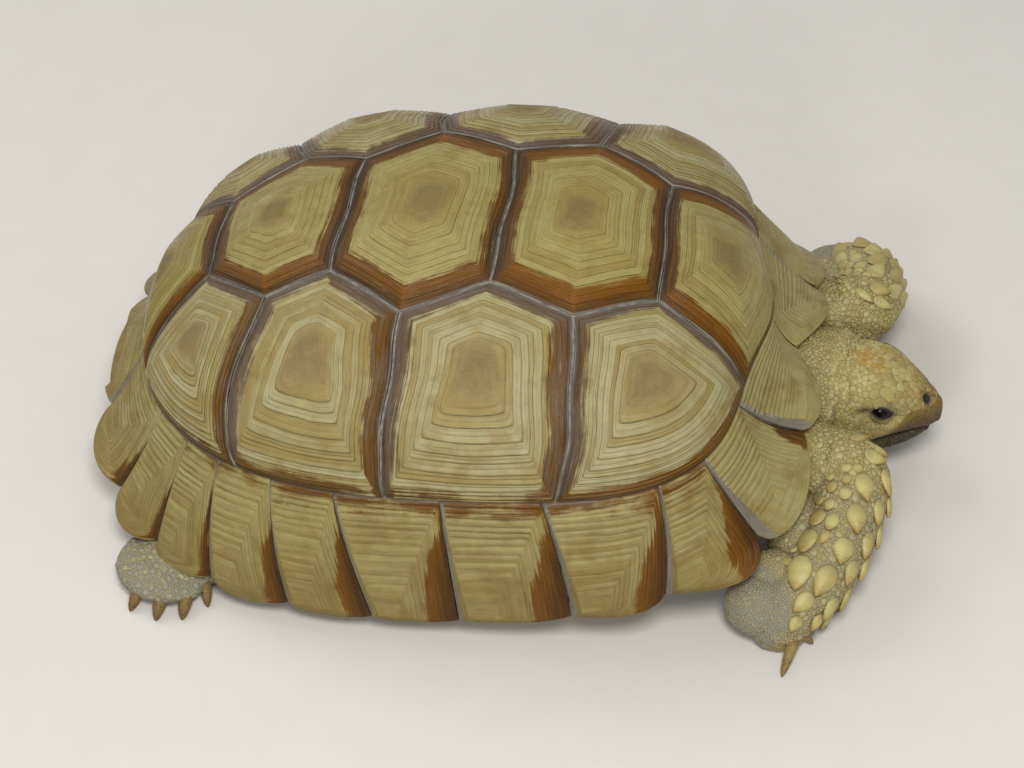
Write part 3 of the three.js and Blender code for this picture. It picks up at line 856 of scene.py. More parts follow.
        # the rings start round and take the outline's corners as they grow
        offset = self.loop - self.centre
        kernel = np.exp(-np.linspace(-2.2, 2.2, 2 * (columns // 16) + 1) ** 2)
        kernel /= kernel.sum()
        padded = np.concatenate([offset, offset, offset])
        soft = stacked(*(np.convolve(padded[:, k], kernel, "same")[columns:2 * columns] for k in (0, 1)))
        sharp = 1.0 if self.marginal else smoothstep(0.12, 0.6, s)[..., None]
        loops = self.centre + mix(soft[None], offset[None], sharp)
        wander = np.stack([periodic_noise(rng, columns, 16) for _ in range(12)])
        pick = np.clip(rows[0] * 12, 0, 10.999)
        low = pick.astype(int)
        drift = wander[low] * (1 - (pick - low))[:, None] + wander[low + 1] * (pick - low)[:, None]
        radius = np.clip(s + 0.008 * drift * smoothstep(0.0, 0.3, s) * smoothstep(0.985, 0.9, s), 0, 1)
        height = self.pick(self.by_side(0.34, 0.1, 0, 0.25), self.by_side(0.48, 0, 0, 1.35),
                           self.by_side(0.3, 0, -0.1, -0.14, 0.55))[None]
        height = (height * (0.6 + 0.6 * smoothstep(0.15, 0.8, s))
                  * (1 + 0.3 * periodic_noise(rng, columns, 9))[None])
        peak = 0.55 * (1 - radius ** 1.8) + 0.6 * (1 - radius) ** 1.35
        rise = self.pick(5.0, 5.5, 2.2) * (1 - radius ** 1.8 if self.marginal else peak) \
            + height * (rows[1][:, None] - 0.5) - 0.5 * smoothstep(0.955, 0.99, s)
        return (SHELL.at(*self.place(radius, loops), -rise),
                self.centre + radius[..., None] * (loops - self.centre))

    def thickness(self, rho: Array) -> Array:
        """Thickness of the plate at radii on the shell."""
        return mix(7.0, 5.5, np.clip(rho - 1, 0, 1)) if self.marginal else np.full(rho.shape, 3.2)

    def build(self) -> Piece:
        """Builds the plate's mesh with the numbers that its material reads.

        Returns:
            The new object.
        """
        rng, columns = np.random.default_rng(self.seed), len(self.loop)
        radius, _, groove, tone = rows = self.rings(rng)
        outer, spot = self.outer(rng, rows)
        rho, angle = self.place(np.ones(columns), self.loop)
        edge, into, thick = SHELL.point(rho, angle), SHELL.inward(rho, angle), self.thickness(rho)
        back = unit(outer[0].mean(axis=0) - edge)
        free = np.where(rho > 1.93, 1.0, 0.0) * self.marginal
        # rows that lead from the outer face round the wall and over the inner face
        more = [edge + back * (self.seam_gap + pull) + into * depth[:, None]
                for pull, depth in ((0.25, 0.55 - 0.15 * free), (0, mix(1.1, thick * 0.35, free)),
                                    (0.05, mix(thick * 0.6, thick * 0.72, free)), (0.9, thick))]
        for t in (0.8, 0.45, 0.0):
            r, a = self.place(np.full(columns, t), self.loop)
            more.append(SHELL.at(r, a, self.thickness(r)))
        grid = np.concatenate([outer, np.stack(more)])
        grid[0], grid[-1] = grid[0].mean(axis=0), grid[-1].mean(axis=0)
        extra, flat = len(more), np.ones(columns)

        def full(row: Array, rest: Array) -> Array:
            """Carries a number of each row over the columns."""
            return np.concatenate([row, rest])[:, None] * flat

        ring = full(radius, np.linspace(0.99, 1.0, extra))
        spots = np.concatenate([spot, np.broadcast_to(self.loop, (extra, *self.loop.shape))])
        walled = full(np.zeros(len(radius)), np.ones(extra)) * free
        slope = mix(-0.35, 0.35, np.clip(spots[..., 1], 0, 1)) if self.marginal else 0
        return wrapped_body(self.name + "_plate", grid, self.colours(ring, spots) | {
            "ring": 0.3 + 0.7 * ring if self.marginal else ring,
            "groove": full(groove, np.full(extra, 0.3)) * (1 - 0.7 * walled) * (0.55 if self.marginal else 1),
            "tone": full(tone, np.full(extra, 0.5)) * (0.4 if self.marginal else 1) + self.tone + slope,
            "seed": np.full(ring.shape, (self.seed * 0.37) % 5.0)})


@dataclass
class Carapace:
    """All the plates of the carapace and the pale bed that shows in their seams."""

    corners: tuple[tuple[float, float], ...] = ((0.42, 0.217), (0.223, 0.31), (0.033, 0.241), (-0.137, 0.334),
                                                (-0.283, 0.21), (-0.419, 0.27), (-0.582, 0.157))
    costal_seams: tuple[float, ...] = (21.8, 72.0, 102.2, 127.0, 157.7)
    tops: tuple[float, ...] = (0, 26.4, 42.1, 52.6, 74.3, 92.8, 110.8, 121.1, 130.7, 138, 146.8, 167)
    rims: tuple[float, ...] = (0, 19.7, 40.6, 57.6, 71.9, 89.9, 103.3, 115.3, 126.4, 135.8, 146.7, 164)
    vertebral_middles: tuple[float, ...] = (0.58, 0.18, -0.125, -0.425, -0.76)
    costal_middles: tuple[tuple[float, float], ...] = ((0.40, 0.425), (0.025, 0.475), (-0.30, 0.425),
                                                       (-0.575, 0.35))
    lobe_front: float = 14.0
    lobe_side: float = 1.5
    lobe_rear: float = 10.5
    lobe_tail: float = 5.0
    lobe_lean: tuple[float, ...] = (0.85, 0.62, 1.5, 1, 1, 1, 1, 1, 1, 1, 1)
    lobe_share: tuple[float, ...] = (0.6, 0.82, 1, 1, 1, 1, 1, 1, 1, 1, 1)
    left_wedges: tuple[float, ...] = (0, 0.35, 0.8, 1, 1, 1, 0.9, 0.8, 0.7, 0.6, 0.6)
    right_wedges: tuple[float, ...] = (0, 0.6, 1.0, 1, 1, 1, 0.9, 0.8, 0.7, 0.6, 0.6)
    spacing: float = 2.1
    side_steps: int = 34
    ring_centre: tuple[float, float] = (0.9, 0.97)

    @staticmethod
    def base(degrees: float) -> tuple[float, float]:
        """A place on the dome's lower edge."""
        return math.cos(math.radians(degrees)), math.sin(math.radians(degrees))

    def outline(self, corners: Sequence[tuple[float, float]]) -> Array:
        """Walks round corners on the dome's chart in even steps.

        Args:
            corners: The corners in order.

        Returns:
            The places, without the first one again.
        """
        places: list[Array] = []
        t = np.linspace(0, 1, 40)
        for k, start in enumerate(corners):
            a, b = np.array(start, float), np.array(corners[(k + 1) % len(corners)], float)
            if np.hypot(*a) > 0.999 and np.hypot(*b) > 0.999:
                first = math.atan2(a[1], a[0])
                turn = first + float(wrap(math.atan2(b[1], b[0]) - first)) * t
                line = stacked(np.cos(turn), np.sin(turn))
            else:
                line = mix(a, b, t[:, None])
            walked = SHELL.point(np.hypot(line[:, 0], line[:, 1]), np.arctan2(line[:, 1], line[:, 0]))
            steps = max(3, round(np.linalg.norm(np.diff(walked, axis=0), axis=1).sum() / self.spacing))
            u = np.arange(steps) / steps
            places.append(stacked(*(np.interp(u, t, line[:, c]) for c in (0, 1))))
        return np.concatenate(places)

    def facing(self, loop: Array) -> tuple[Array, Array]:
        """Finds which way each column of a dome plate looks.

        Args:
            loop: The plate's outline.

        Returns:
            How much it looks to the head end, and to the rim.
        """
        ahead = np.roll(loop, -1, axis=0) - np.roll(loop, 1, axis=0)
        out, middle = unit(stacked(ahead[:, 1], -ahead[:, 0])), loop.mean(axis=0)
        out = out * np.sign(((loop - middle) * out).sum(axis=1).mean())
        down = out[:, 1] * np.sign(middle[1]) if abs(middle[1]) > 0.02 else np.abs(out[:, 1])
        return tuple(np.convolve(np.concatenate([v[-1:], v, v[:1]]), np.ones(3) / 3, "valid")
                     for v in (out[:, 0], down))

    def dome_plate(self, name: str, kind: PlateKind, corners: Sequence[tuple[float, float]],
                   p: float, q: float, seed: int) -> Plate:
        """Lays out one plate of the dome, whose rings start from a place on the chart."""
        loop = self.outline(corners)
        return Plate(name, kind, loop, *self.facing(loop), np.array([p, q]), seed)

    def dome_plates(self) -> list[Plate]:
        """Lays out the vertebral and the costal plates.

        Returns:
            The plates.
        """
        left = list(self.corners)
        right = [(p, -q) for p, q in left]
        base, seams = self.base, self.costal_seams
        vertebrals = [[base(-seams[0]), base(0), base(seams[0]), left[0], right[0]],
                      *([*left[k:k + 3], *right[k:k + 3][::-1]] for k in (0, 2, 4)),
                      [left[6], *map(base, (seams[4], 167, 180, -167, -seams[4])), right[6]]]
        ends = ([left[1]], [left[3], left[2]], [left[5], left[4]], [left[6]])
        costals = [[left[max(2 * k - 1, 0)],
                    *map(base, (seams[k], *self.tops[first:last], seams[k + 1])), *ends[k]]
                   for k, (first, last) in enumerate(((1, 4), (4, 6), (6, 8), (8, 11)))]
        plates = [self.dome_plate(f"vertebral_{k + 1}", PlateKind.VERTEBRAL, corners,
                                  self.vertebral_middles[k], 0.0,
                                  11 + k) for k, corners in enumerate(vertebrals)]
        for side, sign, seed in (("l", 1, 31), ("r", -1, 41)):
            for k, (corners, (p, q)) in enumerate(zip(costals, self.costal_middles)):
                plates.append(self.dome_plate(f"costal_{side}{k + 1}", PlateKind.COSTAL,
                                              [(x, y * sign) for x, y in corners], p, q * sign, seed + k))
        return plates

    def lobe(self, angle: Array, t: Array, lean: float, size: float) -> Array:
        """Reach of a marginal's free edge past the rim.

        Args:
            angle: Angles round the body.
            t: Places along the edge, from its rear.
            lean: Where the lobe peaks.
            size: Share of the full reach.

        Returns:
            The reach on the band's chart.
        """
        c = np.cos(angle)
        end = np.where(c > 0, self.lobe_front, np.where(c < -0.98, self.lobe_tail, self.lobe_rear))
        share = np.minimum(1, np.abs(c) * 1.35) ** 2
        return size * mix(self.lobe_side, end, share) * np.sin(math.pi * t ** lean) ** 0.7 / 60

    def marginal(self, name: str, tops: Sequence[float], rims: Sequence[float], sign: int, lean: float,
                 seed: int, centre: float = 0.72, share: float = 1.0, wedge: float = 1.0) -> Plate:
        """Lays out one plate of the band.

        Args:
            name: The frame node it stands for.
            tops: Angles of its upper corners, in degrees.
            rims: Angles of its corners at the rim, in degrees.
            sign: 1 for the animal's left, -1 for its right.
            lean: Where its lobe peaks: below 1 to the rear, above 1 to the front.
            seed: Seed of its own irregularities.
            centre: Where along the rim its rings start from, 0 at the front seam.
            share: Share of the full reach that its lobe has.
            wedge: Size of the brown wedge along its front seam.

        Returns:
            The plate.
        """
        top, rim = ([math.radians(a * sign) for a in angles] for angles in (tops, rims))
        n_top = max(16, round(abs(top[1] - top[0]) * 135 / self.spacing))
        n_rim = max(24, round(abs(rim[1] - rim[0]) * 165 / self.spacing))
        counts = (n_top, self.side_steps, n_rim, self.side_steps)
        along, side, under = (np.arange(n) / n for n in counts[:3])
        turn = mix(rim[1], rim[0], under)
        loop = np.concatenate([stacked(mix(top[0], top[1], along), 0.0),
                               stacked(mix(top[1], rim[1], side), side),
                               stacked(turn, 1 + self.lobe(turn, under, lean, share)),
                               stacked(mix(top[0], rim[0], 1 - side), 1 - side)])
        # the rings start from a short line along the rim, so that they run level up to the rear seam
        rear, down = self.ring_centre
        start = np.concatenate([mix(centre, rear, along), rear + 0 * side, mix(rear, centre, under),
                                centre + 0 * side])
        strip, tone = (0.09, -0.5) if share < 1 else (0.05, 0.3)
        return Plate(name, PlateKind.MARGINAL, loop, np.repeat([0.0, -1.0, 0.0, 1.0], counts),
                     np.repeat([-1.0, 0.0, 1.0, 0.0], counts), stacked(mix(rim[0], rim[1], start), down),
                     seed, wedge, (*top, *rim), strip, tone)

    def band_plates(self) -> list[Plate]:
        """Lays out the marginals and the supracaudal plate.

        Returns:
            The plates.
        """
        plates = []
        for side, sign, seed, wedges in (("l", 1, 60, self.left_wedges), ("r", -1, 80, self.right_wedges)):
            for k, wedge in enumerate(wedges):
                plates.append(self.marginal(f"marginal_{side}{k + 1}", self.tops[k:k + 2], self.rims[k:k + 2],
                                            sign, self.lobe_lean[k], seed + k,
                                            share=self.lobe_share[k], wedge=wedge))
        return plates + [self.marginal("supracaudal", (167, 193), (164, 196), sign=1, lean=1.0, seed=99,
                                       centre=0.5, wedge=0.0)]

    def bed(self) -> Piece:
        """Builds the thin pale layer that shows in the seams between the plates.

        Returns:
            The new object.
        """
        angle = circle(240)[None]
        rho = np.concatenate([np.linspace(0, 1, 28), np.linspace(1.06, 1.9, 12)])[:, None]
        outer = SHELL.at(rho, angle, mix(0.9, 2.2, smoothstep(1.2, 1.9, rho)) + 0 * angle)
        inner = SHELL.at(rho[::-1], angle, 3.0 + 0 * rho * angle)
        return wrapped_body("carapace_seams", np.concatenate([outer, inner]))

    def build(self, finishes: dict[PlateKind, Material], seam: Material) -> None:
        """Builds every plate and the bed, and dresses them."""
        for plate in self.dome_plates() + self.band_plates():
            settle(plate.build(), finishes[plate.kind], [plate.name])
        settle(self.bed(), seam)


# ---- curves and limbs
def spline(path: Array, t: Array) -> tuple[Array, Array]:
    """Follows a smooth centripetal curve through points.

    Args:
        path: The points.
        t: Shares of its length.

    Returns:
        Points on it, and its directions there.
    """
    a, b, c, d, w = between(path, np.clip(t, 0, 1) * (len(path) - 1))
    d0, d1, d2 = (np.maximum(np.linalg.norm(y - x, axis=1, keepdims=True) ** 0.5, 1e-4)
                  for x, y in ((a, b), (b, c), (c, d)))
    t1 = ((b - a) / d0 - (c - a) / (d0 + d1) + (c - b) / d1) * d1
    t2 = ((c - b) / d1 - (d - b) / (d1 + d2) + (d - c) / d2) * d1
    c2, c3 = -3 * b + 3 * c - 2 * t1 - t2, 2 * b - 2 * c + t1 + t2
    return b + t1 * w + c2 * w ** 2 + c3 * w ** 3, unit(t1 + 2 * c2 * w + 3 * c3 * w ** 2)


@dataclass(frozen=True)
class Limb:
    """A limb along a curve, with its foot pad and its claws.

    Attributes:
        name: The frame node it stands for.
        path: Points of its middle line.
        sizes: Half widths along the path, across and square to that.
        across: Direction of the first width.
        pad: Centre and radii of the foot pad.
        claws: Root, tip and radius of each claw.
        swellings: Centre and radii of the wrist and the elbow.
    """

    name: str
    path: tuple[Point, ...]
    sizes: tuple[tuple[float, float], ...]
    across: Point
    pad: Ball | tuple = ()
    claws: tuple[tuple[Point, Point, float], ...] = ()
    swellings: tuple[Ball, ...] = ()

    def balls(self) -> tuple[Ball, ...]:
        """The limb's round masses."""
        return ((self.pad,) if self.pad else ()) + self.swellings

    def follow(self, t: Array) -> tuple[Array, Array, Array, Array]:
        """Reads the limb at places along it.

        Args:
            t: The places, from 0 to 1.

        Returns:
            The middle, the two width directions and the half widths.
        """
        at, ahead = spline(np.array(self.path, float), t)
        side = np.array(self.across, float)
        u = unit(side - ahead * (ahead @ side)[:, None])
        f = np.clip(t, 0, 1) * (len(self.sizes) - 1)
        sizes = np.array(self.sizes).T
        return (at, u, np.cross(ahead, u),
                stacked(*(np.interp(f, range(len(self.sizes)), size) for size in sizes)))

    def skin(self, rows: int, columns: int, inset: float, relief: Callable[[Array, Array], Array]) -> Array:
        """Lays the limb's skin as a grid closed at both ends.

        Args:
            rows: Number of rows along it.
            columns: Number of columns round it.
            inset: How deep the skin lies under the limb's solid.
            relief: Height of the folds at places along it and angles round it.

        Returns:
            Points, rows by columns by 3.
        """
        caps = 7
        t = np.concatenate([np.zeros(caps), np.linspace(0, 1, rows), np.ones(caps)])
        bend = np.linspace(math.pi / 2, 0, caps + 1)[:-1]
        bulge = np.concatenate([-np.sin(bend), np.zeros(rows), np.sin(bend[::-1])])
        narrow = np.concatenate([np.cos(bend), np.ones(rows), np.cos(bend[::-1])])[:, None]
        at, u, v, size = self.follow(t)
        angle = circle(columns)
        over = relief(t[:, None] + 0 * angle, angle + 0 * t[:, None]) - inset
        w, h = (size[:, :1] + over) * narrow, (size[:, 1:] + over) * narrow
        out = u[:, None] * (w * np.cos(angle))[..., None] + v[:, None] * (h * np.sin(angle))[..., None]
        return at[:, None] + out + np.cross(u, v)[:, None] * (size.min(axis=1) * 0.45 * bulge)[:, None, None]

    def chart(self, points: Array) -> tuple[Array, Array, Array]:
        """Finds where points lie on the limb.

        Args:
            points: The points, n by 3.

        Returns:
            Place along it, angle round it, and distance from its middle in half widths.
        """
        t = np.linspace(0, 1, 240)
        at, u, v, size = self.follow(t)
        best = np.empty(len(points), int)
        for k in range(0, len(points), 20000):
            part = points[k:k + 20000]
            gap = ((part ** 2).sum(axis=1)[:, None] - 2 * part @ at.T + (at ** 2).sum(axis=1)[None])
            best[k:k + 20000] = gap.argmin(axis=1)
        off, u, v, size = points - at[best], u[best], v[best], size[best]
        x, y, z = ((off * side).sum(axis=1) for side in (u, v, np.cross(u, v)))
        ratio = np.sqrt((x / size[:, 0]) ** 2 + (y / size[:, 1]) ** 2 + (z / size.min(axis=1)) ** 2)
        return t[best], np.arctan2(y, x), ratio

    def on(self, t: float, angle: float, over: float) -> tuple[Array, Array, Array]:
        """Finds a point over the limb's surface.

        Args:
            t: Place along it.
            angle: Angle round it.
            over: Height over it.

        Returns:
            The point, the direction out of it and the limb's direction.
        """
        at, u, v, size = (row[0] for row in self.follow(np.array([t])))
        c, s = np.cos(angle), np.sin(angle)
        out = unit(u * c / size[0] + v * s / size[1])
        return at + u * c * size[0] + v * s * size[1] + out * over, out, np.cross(u, v)


# ---- the head's surface
@dataclass(frozen=True)
class HeadForm:
    """The head and the lower jaw as smooth lofts, in the head's own frame.

    Attributes:
        place: Where the head's frame sits.
        yaw: Its turn about the upright, in degrees.
        roll: Its turn about its own length, in degrees.
        square: Squareness of its sections.
        stations: Place along the head, half width, crown and underside.
        jaw: The same for the lower jaw.
        bumps: Centre, radius and height of each swelling, mirrored to both sides.
        grooves: Points, width and depth of each fold, mirrored to both sides.
    """

    place: Point = (192.0, 3.5, 46.5)
    yaw: float = -3.0
    roll: float = -6.0
    square: float = 2.7
    stations: tuple[tuple[float, ...], ...] = (
        (-34, 18, 15, -16), (-27, 22.5, 20, -21), (-16, 25.5, 23.5, -24), (-4, 25.5, 24, -22),
        (6, 23, 22, -18),
        (15, 18.5, 18, -15), (23, 13.5, 12.5, -13.5), (29, 9.5, 7.5, -13), (32.5, 5.5, 2.5, -11.5))
    jaw: tuple[tuple[float, ...], ...] = ((-20, 17.5, -15, -27), (-8, 19, -14, -28.5), (4, 16.5, -13, -27.5),
                                          (14, 12.5, -12.5, -25), (22, 8.5, -12.5, -21.5),
                                          (27.5, 4.5, -13, -18))
    bumps: tuple[tuple[Point, float, float], ...] = (
        ((8, 14.5, 15), 6.5, 1.3), ((-3, 18.5, 15.5), 7, 0.9), ((-14, 24, -8), 9, 1.2),
        ((-21, 23.5, -1), 4.5, -0.9),
        ((18, 15.5, 3.5), 6, -0.9), ((4.2, 22.5, 5), 6.2, -2.4), ((5, 20.5, 13), 5, 0.9),
        ((-3, 24.3, 7.2), 3.6, -1.3),
        ((11.5, 20, 4.6), 2.8, -0.9), ((27, 7, 7), 2.5, -2.2), ((25, 8.8, 6), 2.6, 0.5),
        ((31, 0, 4), 3.2, 0.5),
        ((20, 0, 16), 9, 0.5), ((5, 23, -4.5), 6, 0.5), ((33, 0, -9), 2.6, 0.6))
    grooves: tuple[tuple[tuple[Point, ...], float, float], ...] = (
        (((-13, 24.5, -13.5), (-2, 22.5, -15.3), (8, 18, -13.9), (18, 14, -12.9), (26, 9.5, -12.6),
          (33, 0, -12.2)),
         1.0, 1.1), (((-10, 24.8, 6.8), (-15, 25.2, 4.2), (-20, 24.5, 3)), 1.2, 0.5),
        (((-24, 0, 23), (-20, 9, 23), (-13, 17, 21), (-11, 23, 14), (-16, 25, 6)), 1.3, 0.7),
        (((13, 19.8, 3), (18, 17.2, 0.5), (23, 13.4, -3)), 1.0, 0.35))

    def matrix(self) -> Array:
        """The turn from the head's frame to the body's."""
        y, r = math.radians(self.yaw), math.radians(self.roll)
        turn = np.array([[math.cos(y), -math.sin(y), 0], [math.sin(y), math.cos(y), 0], [0, 0, 1]])
        return turn @ np.array([[1, 0, 0], [0, math.cos(r), -math.sin(r)], [0, math.sin(r), math.cos(r)]])

    def world(self, points: Array) -> Array:
        """Brings points from the head's frame into the body's."""
        return np.asarray(points, float) @ self.matrix().T + np.array(self.place)

    def local(self, points: Array) -> Array:
        """Brings points from the body's frame into the head's."""
        return (np.asarray(points, float) - np.array(self.place)) @ self.matrix()

    def loft(self, stations: Sequence[Sequence[float]], rows: int, columns: int, front: float,
             over: float) -> Array:
        """Lays a smooth closed grid through stations.

        Args:
            stations: Place, half width, top and underside of each section.
            rows: Number of rows between the end sections.
            columns: Number of columns round them.
            front: How far the front cap reaches past the last section.
            over: Height over the sections.

        Returns:
            Points in the head's frame, rows by columns by 3.
        """
        a, b, c, d, w = between(np.array(stations, float),
                                np.linspace(0, 1, rows) ** 0.9 * (len(stations) - 1))
        body = 0.5 * (2 * b + (c - a) * w + (2 * a - 5 * b + 4 * c - d) * w ** 2
                      + (3 * b - a - 3 * c + d) * w ** 3)
        bend = np.linspace(0, math.pi / 2, 11)[1:]
        rear = np.stack([self.cap(body[0], -3, x) for x in bend[::-1]])
        full = np.concatenate([rear, body, np.stack([self.cap(body[-1], front, x) for x in bend])])
        over = over * np.concatenate([np.cos(bend[::-1]), np.ones(rows), np.cos(bend)])[:, None]
        cs, sn = np.cos(circle(columns)), np.sin(circle(columns))
        reach = (np.abs(cs) ** self.square + np.abs(sn) ** self.square) ** (-1 / self.square)
        middle, half = (full[:, 2] + full[:, 3]) / 2, (full[:, 2] - full[:, 3]) / 2
        return stacked(full[:, :1], (full[:, 1:2] + over) * cs * reach,
                       middle[:, None] + (half[:, None] + over) * sn * reach)

    @staticmethod
    def cap(section: Array, front: float, bend: float) -> Array:
        """Draws a section in and moves it on, as part of a round end.

        Args:
            section: Place, half width, top and underside.
            front: Reach of the whole end.
            bend: Turn along the end, from 0 to a right angle.

        Returns:
            The new section.
        """
        middle, half = (section[2] + section[3]) / 2, (section[2] - section[3]) / 2
        share = math.cos(bend)
        return np.array([section[0] + front * math.sin(bend), section[1] * share,
                         middle + half * share, middle - half * share])

    @staticmethod
    def normals(grid: Array) -> Array:
        """Directions out of a closed grid.

        Args:
            grid: Its points.

        Returns:
            The directions.
        """
        round_it = np.roll(grid, -1, axis=1) - np.roll(grid, 1, axis=1)
        out = unit(np.cross(round_it, np.gradient(grid, axis=0)))
        middle = grid.mean(axis=1, keepdims=True)
        return np.where(((grid - middle) * out).sum(axis=-1).mean() > 0, out, -out)

    def relief(self, points: Array) -> Array:
        """Height of the swellings and folds.

        Args:
            points: Points of the head's frame.

        Returns:
            The heights.
        """
        height = np.zeros(points.shape[:-1])
        for sign in (1, -1):
            side = points * np.array([1, sign, 1])
            for centre, radius, rise in self.bumps:
                if sign > 0 or centre[1]:
                    height += rise * np.exp(-((side - np.array(centre)) ** 2).sum(axis=-1) / radius ** 2)
            for path, width, depth in self.grooves:
                height -= depth * np.exp(-(away(side, path) / width) ** 2)
        return height

    def sculpted(self) -> Array:
        """The head's skin as a closed grid in the body's frame."""
        grid = self.loft(self.stations, rows=150, columns=176, front=2.0, over=-0.75)
        fade = smoothstep(-33, -28, grid[..., 0]) * smoothstep(34.6, 33.4, grid[..., 0])
        return self.world(grid + self.normals(grid) * (self.relief(grid) * fade)[..., None])

    def chin(self) -> Array:
        """The lower jaw's skin as a closed grid in the body's frame.

        Returns:
            The grid's points, row by row.
        """
        grid = self.loft(self.jaw, rows=60, columns=96, front=1.6, over=-0.5)
        folds = (0.35 * np.sin(grid[..., 0] * 1.1 + 0.8 * np.sin(grid[..., 1] * 0.5))
                 * smoothstep(8, -2, grid[..., 0]))
        return self.world(grid + self.normals(grid) * folds[..., None])


HEAD = HeadForm()


# ---- the skin
class Region(Enum):
    """The parts of the body that carry scales, each a piece of its own."""

    HEAD = "head"
    NECK = "neck"
    LEG_FR = "leg_fr"
    LEG_FL = "leg_fl"
    LEG_HR = "leg_hr"
    LEG_HL = "leg_hl"
    TAIL = "tail"
    TRUNK = "trunk"

    @property
    def fore(self) -> bool:
        """Whether it is a foreleg."""
        return self.value.startswith("leg_f")

    @property
    def hind(self) -> bool:
        """Whether it is a hind leg."""
        return self.value.startswith("leg_h")


FORE_SIZES = ((21, 18), (21, 19), (20, 19), (19, 18), (19, 18), (18, 17), (16, 15))
HIND_SIZES = ((26, 18), (25, 15), (22, 11.5), (22, 20), (20, 18))
LIMBS = {Region(limb.name): limb for limb in (
    Limb("neck", ((100, 0, 46), (132, 3, 46), (160, 7, 46.5), (174, 8, 46.5), (182, 6.5, 46)),
         ((28, 23), (31, 26), (34, 28), (32.5, 27), (26, 22)), (0, 1, 0)),
    Limb("tail", ((-140, 0, 34), (-166, 2, 27), (-184, 8, 15), (-190, 18, 7)),
         ((15, 13), (12, 11), (8, 7.5), (4, 4)), (0, 1, 0)),
    Limb("leg_fr", ((104, -62, 44), (152, -47, 48), (182, -52, 46), (181, -78, 37), (168, -105, 25),
                    (155, -117, 12), (153, -119, 3)), FORE_SIZES, (0.8, 0.6, 0),
         ((144, -115, 16.5), (18.5, 17, 16.5)),
         (((162, -128, 9), (157, -146, 0.8), 3.1), ((163, -122, 8), (171, -124, 0.8), 3.1),
          ((167, -113, 8), (177, -113, 0.8), 3.1), ((171, -104, 9), (183, -102, 0.8), 3.0),
          ((174, -95, 11), (187, -92, 1.2), 2.8)),
         (((152, -103, 25), (17, 14, 14)), ((160, -78, 30), (17, 22, 18)))),
    Limb("leg_fl", ((104, 64, 44), (150, 60, 48), (182, 66, 45), (187, 90, 37), (183, 112, 26),
                    (178, 122, 13), (177, 124, 3)), FORE_SIZES, (0.95, -0.3, 0),
         ((168, 122, 16.5), (18.5, 17, 16.5)),
         (((174, 137, 8), (174, 149, 0.8), 3.2), ((182, 133, 8), (187, 144, 0.8), 3.1),
          ((189, 127, 8), (197, 136, 0.8), 3.1), ((192, 119, 8), (203, 125, 0.8), 3.0),
          ((193, 110, 9), (204, 113, 1.2), 2.8)),
         (((170, 109, 25), (17, 14, 14)), ((168, 88, 30), (17, 22, 18)))),
    Limb("leg_hr", ((-100, -62, 38), (-126, -84, 27), (-144, -106, 16), (-149, -116, 8), (-149, -118, 3)),
         HIND_SIZES, (0.75, -0.65, 0), ((-150, -115.5, 9.4), (28, 24.5, 10)),
         (((-162, -130, 6.5), (-165.5, -141, 0.8), 3.9), ((-150, -133, 6.5), (-151.5, -145.5, 0.8), 4.1),
          ((-138, -131, 6.5), (-138.5, -143.5, 0.8), 4.1), ((-130, -125, 6), (-127.5, -134, 0.8), 3.2))),
    Limb("leg_hl", ((-100, 62, 38), (-126, 84, 27), (-145, 106, 16), (-151, 115, 8), (-151, 117, 3)),
         HIND_SIZES, (0.75, 0.65, 0), ((-151, 115, 9.4), (28, 24.5, 10)),
         (((-163, 130, 6.5), (-166.5, 141, 0.8), 3.9), ((-151, 133, 6.5), (-152.5, 145.5, 0.8), 4.1),
          ((-139, 131, 6.5), (-139.5, 143.5, 0.8), 4.1), ((-131, 125, 6), (-128.5, 134, 0.8), 3.2))))}
LEGS = [limb for limb in LIMBS.values() if limb.claws]


